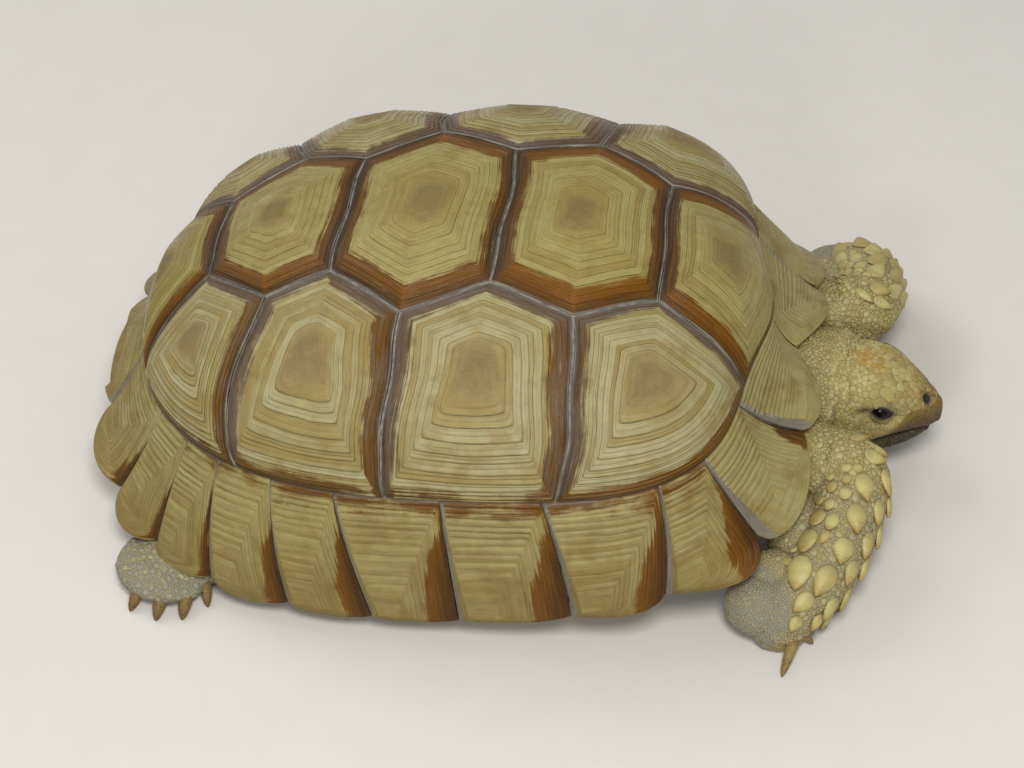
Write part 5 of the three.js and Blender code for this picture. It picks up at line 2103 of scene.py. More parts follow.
FORE_SHIELDS = [Shield(*row) for row in (
    (0.345, 62, 12.5, 9.0, -55), (0.385, 42, 15, 8, -8), (0.417, 85, 15.5, 10, -18, 2.3),
    (0.498, 87, 16, 10.8, -15, 2.4), (0.58, 91, 14.5, 10.8, -12, 2.4), (0.655, 105, 17.5, 11.5, 2, 2.6),
    (0.53, 151, 10, 9.6, 0, 1.7, 0.1), (0.53, 123, 10, 7.2, 0, 1.6, 0.15),
    (0.598, 154, 14.5, 10.8, -22, 2.0, 0.3),
    (0.672, 152, 18.5, 12.4, -28, 2.3, 0.55), (0.728, 129, 13, 9, 10, 2.0, 0.7),
    (0.79, 118, 9, 6.8, 0, 1.7, 0.8),
    (0.405, 113, 5.6, 5.4, 0, 1.2, 0.0), (0.447, 113, 7.4, 6.8, 0, 1.4, 0.0),
    (0.433, 136, 6.6, 5.8, 0, 1.2, 0.0),
    (0.474, 155, 5.4, 5.2, 0, 1.1, 0.0), (0.484, 134, 6.8, 5.4, 0, 1.2, 0.0),
    (0.575, 126, 8.5, 4.4, 0, 1.2, 0.6),
    (0.365, 112, 5.0, 5.0, 0, 1.0, 0.0), (0.37, 95, 5.5, 5.0, 0, 1.1, 0.0),
    (0.395, 140, 4.6, 4.6, 0, 0.9, 0.0),
    (0.305, 58, 12, 5.2, -58, 1.6, 0.7), (0.333, 38, 12.5, 6, -42, 1.8), (0.455, 50, 14, 8, -6),
    (0.537, 52, 14.5, 8.4, -6), (0.605, 62, 13.5, 8.6, -4), (0.693, 74, 13, 8.4), (0.745, 84, 10, 7.4),
    (0.42, 15, 12, 8), (0.5, 20, 13, 8), (0.575, 26, 13, 8), (0.65, 34, 12.5, 8), (0.72, 44, 11, 7.4),
    (0.46, -12, 12, 8), (0.54, -8, 13, 8), (0.615, -2, 13, 8), (0.69, 6, 12, 7.6), (0.52, -40, 11, 7.6),
    (0.6, -36, 12, 7.6), (0.675, -30, 11, 7.2), (0.74, 10, 9, 6.6), (0.665, 182, 9.0, 4.6, 75, 1.6),
    (0.63, 176, 5.6, 4.0, 40, 1.2, 0.5))]

HIND_SPURS = ((-158, 60, 24, 9.0, 6.5), (-160, 68, 17, 7.5, 5.6), (-152, 54, 30, 6.0, 5.0),
              (-165, 96, 9, 8.5, 6.0),
              (-166, 104, 4.5, 7.5, 5.5), (-160, 88, 13, 6.0, 5.0), (-158, 76, 22, 5.0, 4.4))


@dataclass(frozen=True)
class ShieldFinish:
    """Horn of the large scales, paler at the root and browner towards the tip, with painted shade on their
    undersides.
    """

    root: Colour = (156, 146, 92)
    body: Colour = (176, 164, 102)
    tip: Colour = (146, 118, 58)
    # under is painted shade on the scales' undersides
    under: Colour = (112, 88, 50)
    line: Colour = (124, 104, 56)

    def material(self, grain: NodeTree) -> Material:
        """Builds the material, which reads along, low and tone off the vertices.

        Args:
            grain: The shared grain group.

        Returns:
            The material.
        """
        t = Surface("large scales")
        along, tone, blot = t.value("along"), t.value("tone"), t.noise(t.position(), 230.0, 4.0, 0.6)
        rings = t.noise(t.combine(t.times(along, 30.0), t.times(tone, 50.0), t.times(blot, 1.5)), 1.0, 3.0,
                        0.6)
        share = t.plus(along, t.sway(blot, 0.5))
        colour = t.over(t.over(self.root, self.body, share, 0.1, 0.4), self.tip, share, 0.55, 1.05)
        colour = t.over(colour, self.tip, t.plus(tone, blot), 0.7, 1.5, 0.5)
        colour = t.over(colour, self.line, rings, 0.5, 0.7, 0.4)
        _, pores = t.grain(grain, 1400.0, 2.0)
        # painted shade: the undersides take the darker under colour
        return t.done(t.mixed(t.times(t.value("low"), 0.8), colour, self.under),
                      t.step(pores, 0.25, 0.75, 0.36, 0.52),
                      (t.plus(rings, t.times(pores, 0.6)), 0.0003, 0.6))


@dataclass
class Shields:
    """The large pointed scales of the forelegs and the spurs of the thighs and heels."""

    inset: float = 1.3

    def clear(self, points: Array) -> Array:
        """Tells which points have no large scale over them.

        Args:
            points: The points, n by 3.

        Returns:
            Whether each is clear.
        """
        free = np.ones(len(points), bool)
        for leg, side in zip(LEGS, (1, -1)):
            for shield in FORE_SHIELDS:
                at, ahead, _ = shield.frame(leg, side, self.inset)
                a, b = at - ahead * shield.length * 0.3, at + ahead * shield.length * 0.25
                near = np.linalg.norm(points - (a + b) / 2, axis=1) < 18
                if near.any():
                    free[near] &= away(points[near], (a, b)) > shield.width / 2 * 0.82
        return free

    def spur(self, tree: BVHTree, place: Point, length: float, width: float, rng: Random) -> Piece:
        """Builds one spur.

        Args:
            tree: The skin.
            place: The spot near which it stands.
            length: Its length.
            width: Its width.
            rng: Seeded source of chance.

        Returns:
            The new object.
        """
        found, out, _, _ = tree.find_nearest(Vector(place))
        out = unit(np.array(out))
        ahead = unit(out * 0.55 + np.array([-0.35, 0, -0.55]))
        at, shown = np.array(found) + ahead * length * 0.22, unit(out - ahead * (out @ ahead))
        return Shield(0, 0, length, width, height=width * 0.36).body(at, ahead, shown, rng, lift=0.0)

    def build(self, tree: BVHTree, material: Material) -> None:
        """Builds and dresses the large scales of every leg.

        Args:
            tree: The skin.
            material: Their material.
        """
        rng = np.random.default_rng(17)
        for leg, side in zip(LEGS, (1, -1)):
            bodies = [shield.body(*shield.frame(leg, side, self.inset), rng) for shield in FORE_SHIELDS]
            settle(joined(f"shields_{leg.name}", bodies), material)
        for leg, side in zip(LEGS[2:], (-1, 1)):
            bodies = [self.spur(tree, (x, y * side, z), *size, rng) for x, y, z, *size in HIND_SPURS]
            settle(joined(f"spurs_{leg.name}", bodies), material)


# ---- the shell's underside
@dataclass(frozen=True)
class Plastron:
    """The flat lower shell with its six pairs of plates, and the bridges up to the carapace."""

    middle: tuple[float, float] = (-20.0, 0.0)
    top: float = 14.0
    angles: tuple[float, ...] = (0, 26, 50, 72, 100, 122, 146, 165, 180)
    upper: tuple[float, ...] = (128, 112, 108, 127, 126, 122, 138, 158, 156)
    lower: tuple[float, ...] = (116, 100, 92, 96, 95, 100, 118, 140, 142)
    seams: tuple[float, ...] = (92.0, 44.0, 22.0, -66.0, -112.0)
    slants: tuple[float, ...] = (-0.45, 0.12, 0.2, -0.12, 0.35)
    bridge: tuple[float, float] = (57.0, 123.0)
    bridge_plates: int = 4
    bridge_rings: int = 7
    ring_width: float = 4.6

    def reach(self, table: Sequence[float], angle: Array) -> Array:
        """Reach of an edge from the middle of the body.

        Args:
            table: Its reach at each of the angles.
            angle: Where to read it, in radians.

        Returns:
            The reach.
        """
        a, at, reach = np.abs(np.degrees(wrap(angle))), np.array(self.angles), np.array(table)
        i = np.clip(np.searchsorted(at, a, side="left") - 1, 0, len(at) - 2)
        t = np.clip((a - at[i]) / (at[i + 1] - at[i]), 0, 1)
        return mix(reach[i], reach[i + 1], t * t * (3 - 2 * t))

    def seam_gap(self, x: Array, y: Array) -> Array:
        """Distance to the nearest seam between the plates.

        Args:
            x: Places along the body.
            y: Places across it.

        Returns:
            The distances.
        """
        gap = np.abs(y + 0.6 * np.sin(x * 0.12))
        for place, slant in zip(self.seams, self.slants):
            bow = place + slant * np.abs(y) + 1.2 * np.sin(np.abs(y) * 0.11)
            gap = np.minimum(gap, np.abs(x - bow) / math.hypot(1, slant))
        return gap

    def plate(self) -> Piece:
        """Builds the lower shell, with grooves on its seams and growth rings beside them.

        Returns:
            The new object.
        """
        angle = circle(288)
        c, s = np.cos(angle), np.sin(angle)
        upper, lower = self.reach(self.upper, angle) - 0.15, self.reach(self.lower, angle) - 0.15

        def ring(reach: Array, share: float, z: float) -> Array:
            """One ring of points between the middle and an edge."""
            return mix(np.array([*self.middle, z]), stacked(reach * c, reach * s, z), share)

        rows = [np.tile([*self.middle, self.top - 0.2], (len(angle), 1)),
                ring(upper, 0.5, self.top - 0.2), ring(upper, 0.94, self.top - 0.2),
                ring(upper, 1.0, self.top - 0.9)]
        for w, z in ((1.0, self.top - 4), (0.72, 7.2), (0.4, 3.4), (0.14, 0.9), (0.0, 0.05)):
            rows.append(ring(mix(lower, upper, w), 1.0, z))
        grid = np.stack(rows + [ring(lower, share, 0.0) for share in np.linspace(0.985, 0.0, 70)])
        x, y, z = np.moveaxis(grid, -1, 0)
        gap, under = self.seam_gap(x, y), smoothstep(9, 2, z)
        wave = (gap / (self.ring_width + 0.8 * lattice(x * 0.05, y * 0.05, 31))) % 1.0
        fade = smoothstep(30, 16, gap)
        grid[..., 2] += under * (1.1 * np.exp(-(gap / 0.9) ** 2) + 0.22 * (1 - wave) * fade)
        values = {"ring": np.clip(1 - gap / 46, 0, 1), "band": smoothstep(10, 2, gap) * 0.5 - 0.42,
                  "edge": 0.02 - gap * 0.02,
                  "groove": smoothstep(0.14, 0.0, np.minimum(wave, 1 - wave)) * fade * 0.7,
                  "tone": np.floor(gap / self.ring_width) * 0.37 % 1.0, "dark": np.full(gap.shape, 0.3),
                  "seed": np.full(gap.shape, 1.3)}
        return wrapped_body("plastron_plates", grid, values)

    def bridge_wall(self, side: int) -> Piece:
        """Builds the wall between the lower shell and the marginals of one side.

        Args:
            side: 1 for the left, -1 for the right.

        Returns:
            The new object.
        """
        angle = np.radians(np.linspace(*self.bridge, 96)) * side
        reach, head = (self.reach(self.upper, angle) - 1.5,
                       SHELL.rim(angle) * [0.955, 0.955, 1.0] + [0, 0, 2.2])
        foot, s = stacked(reach * np.cos(angle), reach * np.sin(angle), 9.5), np.linspace(0, 1, 22)
        wave = s[:, None, None]
        outer = mix(foot[None], head[None], wave) + np.array([0, 0, -1.0]) * (np.sin(wave * math.pi) * 2.4)
        inner = mix(foot[None] * [0.975, 0.975, 1], head[None] * [0.965, 0.965, 1], wave) + [0, 0, 2.6]
        outer = outer + np.array([0, 0, -0.25]) * ((wave * self.bridge_rings) % 1.0 - 0.5)
        grid = closed_ends(np.concatenate([outer, inner[::-1]]).transpose(1, 0, 2))
        across = np.concatenate([s, np.linspace(1, 0, 22)])[None] + np.zeros((len(grid), 1))
        part = np.concatenate([angle[:1], angle, angle[-1:]])[:, None] + 0 * across
        width, rings = (self.bridge[1] - self.bridge[0]) / self.bridge_plates, across * self.bridge_rings
        seam = np.abs(((np.degrees(np.abs(part)) - self.bridge[0]) / width + 0.5) % 1.0 - 0.5) * width
        values = {"ring": 0.35 + 0.6 * across, "band": smoothstep(5, 1, seam) * 0.5 - 0.4,
                  "edge": 0.02 - seam * 0.04, "groove": (rings % 1.0 < 0.2) * 0.6,
                  "tone": np.floor(rings) * 0.37 % 1.0, "dark": np.full(part.shape, 0.4),
                  "seed": np.full(part.shape, 2.1)}
        return wrapped_body("bridge", grid, values)

    def build(self, material: Material) -> None:
        """Builds and dresses the lower shell and the bridges."""
        settle(self.plate(), material, ["plastron"])
        settle(joined("bridges", [self.bridge_wall(1), self.bridge_wall(-1)]), material)


# ---- the hide and its scales
@dataclass(frozen=True)
class HideFinish:
    """Colours of the hide, on the skin and on its scales."""

    straw: Colour = (168, 156, 102)
    straw_deep: Colour = (144, 126, 68)
    # the two cleft colours are painted shade: darker hide in the clefts between the scales, browner where the
    # hide is brown
    cleft_shade: Colour = (124, 113, 76)
    cleft_shade_brown: Colour = (96, 70, 50)
    warm: Colour = (166, 122, 36)
    olive: Colour = (112, 102, 50)
    grey: Colour = (128, 126, 112)
    brown: Colour = (128, 94, 48)
    # dark lays both the skin's own dark blotches and painted shade: in the nostrils, eye hollows, mouth line,
    # lids and under the carapace
    dark: Colour = (30, 26, 20)

    def group(self) -> NodeTree:
        """Builds the shared colour group, which takes the markings, a tone and a share of scale top; below
        the top it paints shade in the darker cleft colours.

        Returns:
            The node group.
        """
        t, start, end = new_group("Hide",
                                  {name.title(): 0.0 for name in Markings.NAMES} | {"Tone": 0.5, "Top": 1.0},
                                  {"Color": "NodeSocketColor"})
        given, place = start.outputs, t.position()
        blot, fine = t.noise(place, 160.0, 4.0, 0.6), t.noise(place, 1400.0, 3.0, 0.6)
        share = t.plus(t.times(given["Tone"], 0.55), t.times(blot, 0.7))
        colour = t.over(self.straw, self.straw_deep, share, 0.3, 1.0)
        patchy = t.step(t.noise(place, 420.0, 4.0, 0.65), 0.36, 0.64, 0.25, 1.15)
        for name in Markings.NAMES[:-1]:
            colour = t.mixed(t.times(given[name.title()], patchy, clamp=True), colour, getattr(self, name))
        colour = t.over(colour, self.straw_deep, fine, 0.45, 0.75, 0.3)
        # painted shade: the less of a scale's top a place has, the more it takes the darker cleft colour
        top = t.step(t.plus(given["Top"], t.sway(fine, 0.3)), 0.15, 0.75)
        colour = t.mixed(top, t.mixed(given["Brown"], self.cleft_shade, self.cleft_shade_brown), colour)
        # the dark marking: dark blotches of the skin together with painted shade
        t.feed(end, Color=t.mixed(given["Dark"], colour, self.dark))
        return t.tree

    def material(self, name: str, group: NodeTree, on_scales: bool) -> Material:
        """Builds the hide's material for the bare skin or for scales.

        Args:
            name: Name of the material.
            group: The shared colour group.
            on_scales: Whether the piece carries a tone and a top for each scale.

        Returns:
            The material.
        """
        t = Surface(name)
        marks = {label.title(): t.value(label) for label in Markings.NAMES}
        place = t.position()
        if on_scales:
            tone, top = t.value("tone"), t.value("top")
        else:
            # painted shade: the edges of small cells take the darker cleft colour as creases, which the
            # relief also presses in
            cells = t.feed(t.node("ShaderNodeTexVoronoi", feature="DISTANCE_TO_EDGE"), Vector=place,
                           Scale=620.0)
            tone, top = t.noise(place, 300.0, 2.0), t.step(cells.outputs["Distance"], 0.0, 0.28, 0.15, 0.6)
        hide = t.feed(t.node("ShaderNodeGroup", node_tree=group), Tone=tone, Top=top, **marks)
        grainy, creases = t.noise(place, 1900.0, 4.0, 0.65), t.noise(place, 520.0, 3.0, 0.55, 0.6)
        height = t.plus(t.times(grainy, 0.3), t.times(creases, 0.7))
        if not on_scales:
            height = t.plus(height, t.times(top, 1.6))
        return t.done(hide.outputs["Color"], t.step(grainy, 0.25, 0.8, 0.42, 0.66), (height, 0.00035, 0.7),
                      0.35)


@dataclass
class Coat:
    """Scales that stand over the skin, one piece a region.

    Attributes:
        skin: The skin's mesh.
        seed: Seed of their scatter.
        gap: Width of the cleft between neighbours, as a share of their size.
        crowd: How close two scales may stand, as a share of their radii.
        corners: Corners of a scale's outline, on the body and on the head.
        rounds: How many times the spacing is evened out.
        crowds: How many neighbours push a scale, and how many shape its outline.
        patch: Radius of a scale's patch on the UV map.
        margin: Width of the UV map's empty margin.
    """

    skin: Mesh
    seed: int = 7
    gap: float = 0.07
    crowd: float = 0.86
    corners: tuple[int, int] = (8, 14)
    rounds: int = 2
    crowds: tuple[int, int] = (7, 11)
    patch: float = 0.0015
    margin: float = 0.02

    def __post_init__(self) -> None:
        """Reads the skin's points, faces and directions."""
        self.points = read(self.skin.vertices, "co", 3).astype(float) / MM
        self.normals = read(self.skin.vertices, "normal", 3).astype(float)
        self.faces = read(self.skin.polygons, "vertices", 3, np.int32)
        self.tree = BVHTree.FromPolygons([tuple(p) for p in self.points], self.faces.tolist())

    @staticmethod
    def sizes(points: Array, region: Array, t: Array, rng: Random) -> tuple[Array, Array]:
        """How wide and how high scales are at points.

        Args:
            points: Points on the skin, n by 3.
            region: Index of the region of each.
            t: Place of each along its limb.
            rng: Seeded source of chance.

        Returns:
            Radius and height of each scale; the radius is 0 where none grows.
        """
        plain = {Region.NECK: (0.85, 0.24), Region.TAIL: (1.15, 0.55)}
        radius, height = np.array([plain.get(name, (1.3, 0.55)) for name in Region])[region].T
        h = HEAD.local(points)
        x, _, z = h.T
        top = smoothstep(4, 14, z)
        crown = 0.95 + top * (0.6 * smoothstep(-2, 9, x) + 0.25 * smoothstep(-14, -4, x))
        crown = mix(crown, 0.8, smoothstep(19, 27, x))
        eyes = EYE.gap(h)
        crown = mix(crown, 0.7, smoothstep(12, 8.5, eyes) * smoothstep(12, 6, z))
        brow = Markings.spot(h, (3.5, 19.5, 14.0), (8, 6, 4.2))
        crown = np.where(z < -10, 0.9, crown) + 1.1 * smoothstep(0.2, 0.5, brow)
        nostril = np.minimum(*(np.linalg.norm(h - np.array((27.3, 6.8 * s, 7.0)), axis=1) for s in (1, -1)))
        bare = (eyes < EYE.radius + 2.3) | Beak.covers(h) | (nostril < 2.5)
        head = region == list(Region).index(Region.HEAD)
        radius = np.where(head, np.where(bare, 0.0, crown), radius)
        height = np.where(head, 0.13 + 0.07 * top - 0.06 * brow, height)
        chance = rng.uniform(0, 1, len(points))
        for k, name in enumerate(Region):
            if name.fore or name.hind:
                pad = ball_ratio(points, LIMBS[name].pad)
                rare = chance > 1 - 0.03 * (1 + smoothstep(0.55, 0.35, t) * name.fore)
                wide = np.where(rare, rng.uniform(1.2, 1.9, len(points)), 0.68 if name.fore else 0.6)
                wide = np.where((pad < 1.4) & name.fore, 0.62, wide)
                wide = np.where(points[:, 2] < 2.5, 0.95, wide)
                bare = points[:, 2] < 0.6
                for root, tip, claw in LIMBS[name].claws:
                    bare |= away(points, (root, tip)) < claw + 0.6
                radius = np.where(region == k, np.where(bare, 0.0, wide), radius)
                height = np.where(region == k, np.where(pad < 1.4, 0.1, 0.14) + 0.16 * wide, height)
        rim = SHELL.rim(np.arctan2(points[:, 1], points[:, 0]))
        reach = np.linalg.norm(points[:, :2], axis=1) / np.linalg.norm(rim[:, :2], axis=1)
        hidden = (reach < 0.66) | (points[:, 2] > rim[:, 2] + 6) & (reach < 0.86)
        hidden |= (region == list(Region).index(Region.TRUNK)) & (points[:, 2] < 17.0)
        return np.where(hidden, 0.0, radius), height

    def scatter(self, rng: Random) -> tuple[Array, Array, Array, Array]:
        """Places the scales so that they fill the skin without crowding.

        Args:
            rng: Source of the random draws.

        Returns:
            Points, radii, heights and regions.
        """
        a, b, c = (self.points[self.faces[:, k]] for k in range(3))
        area, middle = np.linalg.norm(np.cross(b - a, c - a), axis=1) / 2, (a + b + c) / 3
        wanted, _ = self.sizes(middle, *Markings.regions(middle), rng)
        density = np.where(wanted > 0, area / np.maximum(wanted, 0.3) ** 2, 0)
        count = int(density.sum() * 1.5)
        face = rng.choice(len(area), count, p=density / density.sum())
        u, v = rng.uniform(0, 1, (2, count))
        u, v = np.where(u + v > 1, 1 - u, u), np.where(u + v > 1, 1 - v, v)
        spots = a[face] + (b - a)[face] * u[:, None] + (c - a)[face] * v[:, None]
        region, t = Markings.regions(spots)
        radius, height = self.sizes(spots, region, t, rng)
        radius = radius * rng.uniform(0.85, 1.15, count) * Shields().clear(spots)
        near, alive, kept = search_tree(spots), radius > 0, []
        for k in np.argsort(-radius + rng.uniform(0, 0.35, count)).tolist():
            if alive[k]:
                kept.append(k)
                for _, j, gap in near.find_range(spots[k], self.crowd * radius[k] * 2):
                    if gap < self.crowd * (radius[k] + radius[j]):
                        alive[j] = False
        return spots[kept], radius[kept], height[kept], region[kept]

    @staticmethod
    def neighbours(points: Array, count: int) -> tuple[Array, Array]:
        """Finds the nearest other points of each, with their distances.

        Args:
            points: The points.
            count: How many neighbours each of them gets.

        Returns:
            The neighbours' numbers and their distances.
        """
        tree = search_tree(points)
        found = [tree.find_n(point, count + 1)[1:] for point in points]
        return (np.array([[f[1] for f in row] for row in found]),
                np.array([[f[2] for f in row] for row in found]))

    def relax(self, points: Array, radius: Array) -> tuple[Array, Array]:
        """Evens out the spacing and brings the points back onto the skin.

        Args:
            points: Roots of the scales.
            radius: Their radii.

        Returns:
            The new roots, and the directions out of the skin there.
        """
        for _ in range(self.rounds):
            index, gap = self.neighbours(points, self.crowds[0])
            push = np.maximum(0.98 * (radius[:, None] + radius[index]) - gap, 0)
            step = ((points[:, None] - points[index]) / np.maximum(gap, 1e-3)[..., None]
                    * push[..., None]).sum(axis=1)
            length = np.linalg.norm(step, axis=1, keepdims=True)
            step = step * np.minimum(1, 0.45 * radius[:, None] / np.maximum(length, 1e-6)) * 0.5
            found = [self.tree.find_nearest(p) for p in points + step]
            points = np.array([tuple(f[0]) for f in found])
        return points, unit(self.normals[self.faces[[f[2] for f in found]]].mean(axis=1))

    @staticmethod
    def lie(points: Array, region: Array, normal: Array) -> Array:
        """Finds where the scales' free edges look.

        Args:
            points: Roots of the scales.
            region: Index of the region of each.
            normal: Directions out of the skin.

        Returns:
            The directions.
        """
        out = np.zeros_like(points)
        for k, name in enumerate(Region):
            here = region == k
            if name in LIMBS and here.any():
                _, u, v, _ = LIMBS[name].follow(LIMBS[name].chart(points[here])[0])
                out[here] = np.cross(u, v) * (-1 if name is Region.NECK else 1)
            else:
                out[here] = HEAD.matrix() @ np.array([-1.0, 0, 0]) if name is Region.HEAD else [0, 0, -1.0]
        return unit(out - normal * (out * normal).sum(axis=1, keepdims=True))

    def cells(self, points: Array, radius: Array, side: Array, ahead: Array, sides: int) -> Array:
        """Reach of each corner of the scales, of which each ends half way to its neighbours.

        Args:
            points: All points.
            radius: Their radii.
            side: Directions across the free edges.
            ahead: Directions of the free edges.
            sides: Corners of each outline.

        Returns:
            The reaches, a row a scale.
        """
        index, _ = self.neighbours(points, self.crowds[1])
        off = points[index] - points[:, None]
        x, y = (off * ahead[:, None]).sum(axis=-1), (off * side[:, None]).sum(axis=-1)
        dist, turn = np.hypot(x, y), np.arctan2(y, x)
        share = radius[:, None] / (radius[:, None] + radius[index])
        facing = np.cos(circle(sides)[None, :, None] - turn[:, None, :])
        reach = np.where(facing > 0.05, (share * dist)[:, None] / np.maximum(facing, 0.05), 99).min(axis=-1)
        return np.minimum(reach, radius[:, None] * 1.4)

    def body(self, region: Region, points: Array, radius: Array, height: Array, normal: Array, ahead: Array,
             side: Array, reach: Array, rng: Random) -> Piece:
        """Builds one piece of the coat.

        Args:
            region: The part of the body that it covers.
            points: Roots of its scales.
            radius: Their radii.
            height: Their heights.
            normal: Directions out of the skin.
            ahead: Directions of their free edges.
            side: Directions across the free edges.
            reach: Reach of each corner.
            rng: Seeded source of chance.

        Returns:
            The new object.
        """
        count, sides = reach.shape
        theta = circle(sides)
        c, s = np.cos(theta), np.sin(theta)
        across = ahead[:, None] * c[None, :, None] + side[:, None] * s[None, :, None]
        # share of the reach, share of the height and share of the top's colour of each ring; the rest is
        # painted shade, darkest at each scale's foot
        levels = ((1.0, -0.6, 0.0), (0.86, 0.72, 0.75)) if sides == self.corners[0] else (
            (1.0, -0.6, 0.0), (0.93, 0.5, 0.55), (0.74, 0.9, 0.9))
        rows, tops = [], []
        for k, (share, level, top) in enumerate(levels):
            rise = height[:, None] * (level + (c[None] * 0.3 * share if k else 0))
            row = points[:, None] + across * (reach * (share - self.gap * (k > 0) * 0.5))[..., None] \
                + normal[:, None] * rise[..., None]
            rows.append(above_floor(row, 0.02))
            tops.append(np.full((count, sides), top))
        peak = points + normal * (height * 1.12)[:, None] + ahead * (radius * 0.12)[:, None]
        verts = np.concatenate([*rows, peak[:, None]], axis=1)
        mesh, per, loops = self.mesh(f"scales_{region.value}", verts, sides)
        if region is Region.HEAD:
            values = Markings.at(verts.reshape(-1, 3))
            # on the head the painted shade at the scales' feet is fainter
            tops = [0.55 + 0.45 * top for top in tops]
        else:
            values = {label: np.repeat(data, per) for label, data in Markings.at(points).items()}
        values["tone"] = np.repeat(rng.uniform(0, 1, count), per)
        values["top"] = np.concatenate([*tops, np.ones((count, 1))], axis=1)
        add_values(mesh, values)
        # a small patch for each scale, at its root's place on the unrolled skin
        along, turn, _ = Markings.unrolled(region, points)
        root = self.margin + (1 - 2 * self.margin) * stacked(turn / TAU + 0.5, np.clip(along, 0, 1))
        ring = np.concatenate([stacked(c, s) * share * self.patch for share, _, _ in levels]
                              + [np.zeros((1, 2))])
        uv = root[loops // per] + ring[loops % per]
        mesh.uv_layers.new(name="OFBake").data.foreach_set("uv", uv.astype(np.float32).ravel())
        return add_object(mesh.name, mesh)

    @staticmethod
    def mesh(name: str, verts: Array, sides: int) -> tuple[Mesh, int, Array]:
        """Makes the mesh of many scales, each of rings of corners under one peak.

        Args:
            name: Name of the mesh.
            verts: Corners and peak of each scale, a row a scale.
            sides: Corners of a ring.

        Returns:
            The mesh, how many vertices a scale has, and the vertex at each corner of a face.
        """
        count, per = verts.shape[:2]
        ring, after = np.arange(sides), (np.arange(sides) + 1) % sides
        quads = np.concatenate([stacked(ring + k, after + k, after + k + sides, ring + k + sides)
                                for k in range(0, per - 1 - sides, sides)])
        last = per - 1 - sides
        one = np.concatenate([quads.ravel(), stacked(ring + last, after + last, per - 1).ravel()])
        first = np.concatenate([np.arange(len(quads)) * 4, quads.size + ring * 3])
        scale = np.arange(count)[:, None]
        loops, starts = (one + scale * per).ravel(), (first + scale * len(one)).ravel()
        mesh = bpy.data.meshes.new(name)
        mesh.vertices.add(count * per)
        place_vertices(mesh, verts)
        mesh.loops.add(loops.size)
        mesh.loops.foreach_set("vertex_index", loops.astype(np.int32))
        mesh.polygons.add(len(starts))
        mesh.polygons.foreach_set("loop_start", starts.astype(np.int32))
        mesh.polygons.foreach_set("use_smooth", np.ones(len(starts), bool))
        mesh.update(calc_edges=True)
        return mesh, per, loops

    def build(self, material: Material) -> None:
        """Builds and dresses every piece of the coat.

        Args:
            material: Their material.
        """
        rng = np.random.default_rng(self.seed)
        points, radius, height, region = self.scatter(rng)
        points, normal = self.relax(points, radius)
        ahead = self.lie(points, region, normal)
        side = np.cross(normal, ahead)
        small, fine = (self.cells(points, radius, side, ahead, sides) for sides in self.corners)
        for k, name in enumerate(Region):
            here = region == k
            reach = (fine if name is Region.HEAD else small)[here]
            settle(self.body(name, *(row[here] for row in (points, radius, height, normal, ahead, side)),
                             reach, rng),
                   material)


# ---- studio
@dataclass(frozen=True)
class Studio:
    """Camera, lamps and floor; angles are in degrees, lengths in metres."""

    azimuth: float = 9.43
    elevation: float = 45.8
    roll: float = -2.42
    lens: float = 91.4
    sensor: float = 36.0
    distance: float = 1.3083
    target: Point = (0.0113, -0.0218, 0.06)
    lamp_target: Point = (0, 0, 0.05)
    floor_colour: Colour = (206, 201, 192)
    floor_size: float = 6.0
    sky: tuple[float, ...] = (0.93, 0.96, 1.0, 1.0)
    sky_strength: float = 0.42

    def camera(self) -> None:
        """Sets the camera at its viewing angle."""
        az, el, roll = (math.radians(a) for a in (self.azimuth, self.elevation, self.roll))
        back = Vector((math.sin(az) * math.cos(el), -math.cos(az) * math.cos(el), math.sin(el)))
        right = (-back).cross(Vector((0, 0, 1))).normalized()
        up = right.cross(-back)
        data = bpy.data.cameras.new("camera")
        data.lens, data.sensor_width = self.lens, self.sensor
        camera = add_object("camera", data)
        columns = (right * math.cos(roll) + up * math.sin(roll),
                   -right * math.sin(roll) + up * math.cos(roll), back,
                   Vector(self.target) + back * self.distance)
        camera.matrix_world = Matrix([[column[row] for column in columns] for row in range(3)]
                                     + [(0, 0, 0, 1)])
        bpy.context.scene.camera = camera

    def lamp(self, name: str, place: Point, size: float, power: float) -> None:
        """Hangs one soft lamp that looks at the object.

        Args:
            name: Its name.
            place: Where it hangs.
            size: Its diameter.
            power: Its power in watts.
        """
        data = bpy.data.lights.new(name, "AREA")
        data.shape, data.size, data.energy = "DISK", size, power
        lamp = add_object(name, data)
        lamp.location = place
        lamp.rotation_euler = (Vector(place) - Vector(self.lamp_target)).to_track_quat("Z", "Y").to_euler()

    def floor(self) -> None:
        """Lays the plain pale floor."""
        mesh = new_mesh("floor", bmesh.ops.create_grid, x_segments=2, y_segments=2, size=self.floor_size)
        t = Surface("floor")
        tint = t.mixed(t.noise(t.position(), 40.0, 3.0), self.floor_colour,
                       tuple(c - 5 for c in self.floor_colour))
        mesh.materials.append(t.done(tint, 0.9))
        add_object("floor", mesh)

    def build(self) -> None:
        """Builds the whole studio."""
        scene = bpy.context.scene
        scene.view_settings.view_transform = "Standard"
        scene.world = bpy.data.worlds.new("studio")
        scene.world.use_nodes = True
        sky = scene.world.node_tree.nodes["Background"].inputs
        sky["Color"].default_value, sky["Strength"].default_value = self.sky, self.sky_strength
        self.camera()
        self.floor()
        self.lamp("key", (0.25, -0.85, 1.5), size=0.5, power=19.0)
        self.lamp("low", (-0.1, -1.35, 0.8), size=0.3, power=5.0)
        self.lamp("fill", (-0.9, 0.6, 1.3), size=1.2, power=9.0)
        LOG.info("studio ready")


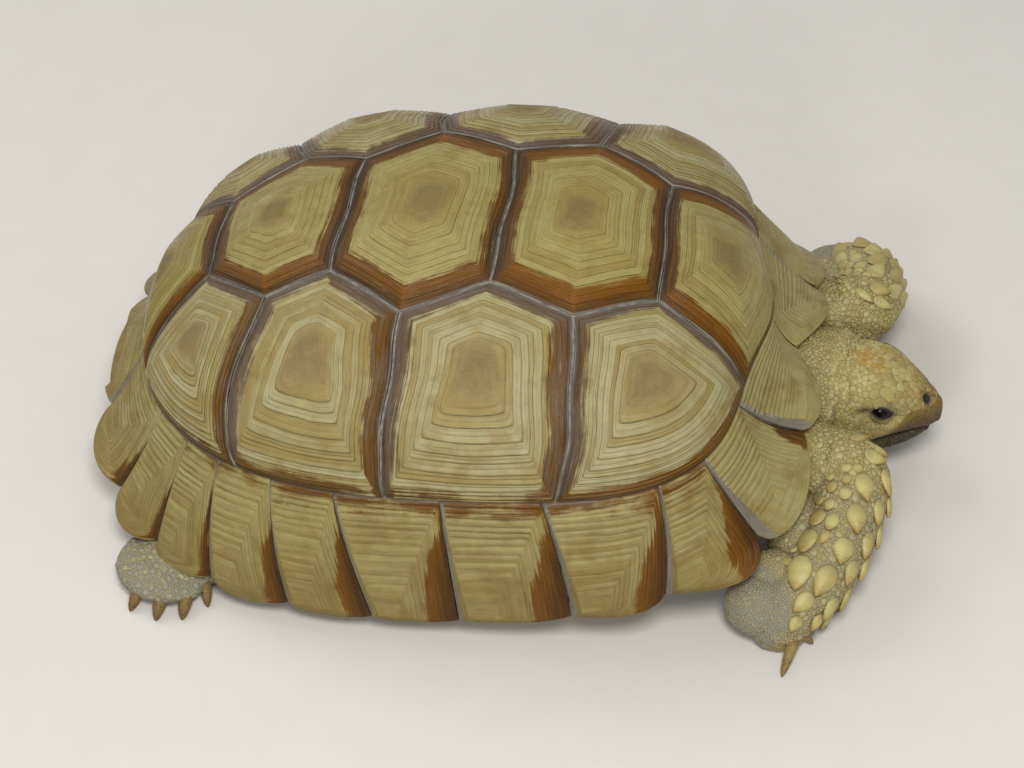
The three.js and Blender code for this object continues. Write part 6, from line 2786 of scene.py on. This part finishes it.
FINISHES = {
    PlateKind.VERTEBRAL: HornFinish("vertebral horn", areola=(130, 108, 58), straw=(155, 144, 88),
                                    straw_deep=(138, 118, 60), line=(62, 44, 16), band=(120, 75, 0),
                                    band_dark=(46, 28, 0), margin=(78, 70, 60)),
    PlateKind.COSTAL: HornFinish("costal horn", areola=(140, 116, 68), straw=(160, 151, 108),
                                 straw_deep=(140, 120, 64), line=(58, 42, 18), band=(118, 79, 6),
                                 band_dark=(48, 32, 6), margin=(98, 90, 80)),
    PlateKind.MARGINAL: HornFinish("marginal horn", areola=(124, 92, 36), straw=(153, 141, 88),
                                   straw_deep=(129, 107, 54), line=(56, 36, 12), band=(108, 67, 0),
                                   band_dark=(46, 27, 0), margin=(104, 96, 84)),
}
PLASTRON_HORN = HornFinish("plastron horn", areola=(176, 158, 110), straw=(190, 174, 122),
                           straw_deep=(168, 144, 92),
                           line=(112, 86, 52), band=(128, 92, 56), band_dark=(92, 62, 40),
                           margin=(120, 108, 92))
BEAK_UPPER = BeakFinish("upper beak", (118, 96, 44), (90, 66, 28), (44, 28, 14), (34, 22, 16))
BEAK_LOWER = BeakFinish("lower beak", (62, 52, 28), (50, 38, 24), (30, 22, 16), (124, 110, 68))
CLAW_HORN = BeakFinish("claws", (120, 98, 52), (138, 116, 66), (104, 84, 50), (78, 56, 32))
HIND_CLAW_HORN = BeakFinish("hind claws", (104, 82, 40), (120, 98, 50), (96, 78, 42), (48, 36, 26))


def seam_material(grain: NodeTree) -> Material:
    """Pale grey layer in the seams, darker in blots."""
    t = Surface("seam")
    mottle, pores = t.grain(grain, 900.0, 0.0)
    return t.done(t.over((132, 128, 116), (88, 82, 72), mottle, 0.3, 0.7), t.step(pores, 0.2, 0.8, 0.5, 0.8))


def main() -> None:
    """Builds the tortoise's looks in order."""
    logging.basicConfig(level=logging.INFO, format="%(message)s")
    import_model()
    Studio().build()
    grain = grain_group()
    Carapace().build({kind: finish.material(grain) for kind, finish in FINISHES.items()},
                     seam_material(grain))
    Plastron().build(PLASTRON_HORN.material(grain))

    hide = HideFinish()
    hide_group = hide.group()
    skin = Skin().build()
    settle(skin, hide.material("skin", hide_group, on_scales=False),
           ["trunk", "head", "neck", "leg_fr", "leg_fl", "leg_hr", "leg_hl", "tail"])
    coat = Coat(skin.data)
    add_values(skin.data, Markings.at(coat.points))
    coat.build(hide.material("scales", hide_group, on_scales=True))
    Shields().build(coat.tree, ShieldFinish().material(grain))
    wet = eye_material()
    for name, sign in (("eye_l", 1), ("eye_r", -1)):
        settle(EYE.ball(name + "_ball", sign), wet, [name])
        settle(EYE.lids(name + "_lids", sign), hide.material(name + " lids", hide_group, on_scales=True))
    Beak().build(BEAK_UPPER.material(grain), BEAK_LOWER.material(grain))
    fore_horn, hind_horn = CLAW_HORN.material(grain), HIND_CLAW_HORN.material(grain)
    for leg in LEGS:
        Claws(leg).build(fore_horn if leg.swellings else hind_horn)


if __name__ == "__main__":
    main()
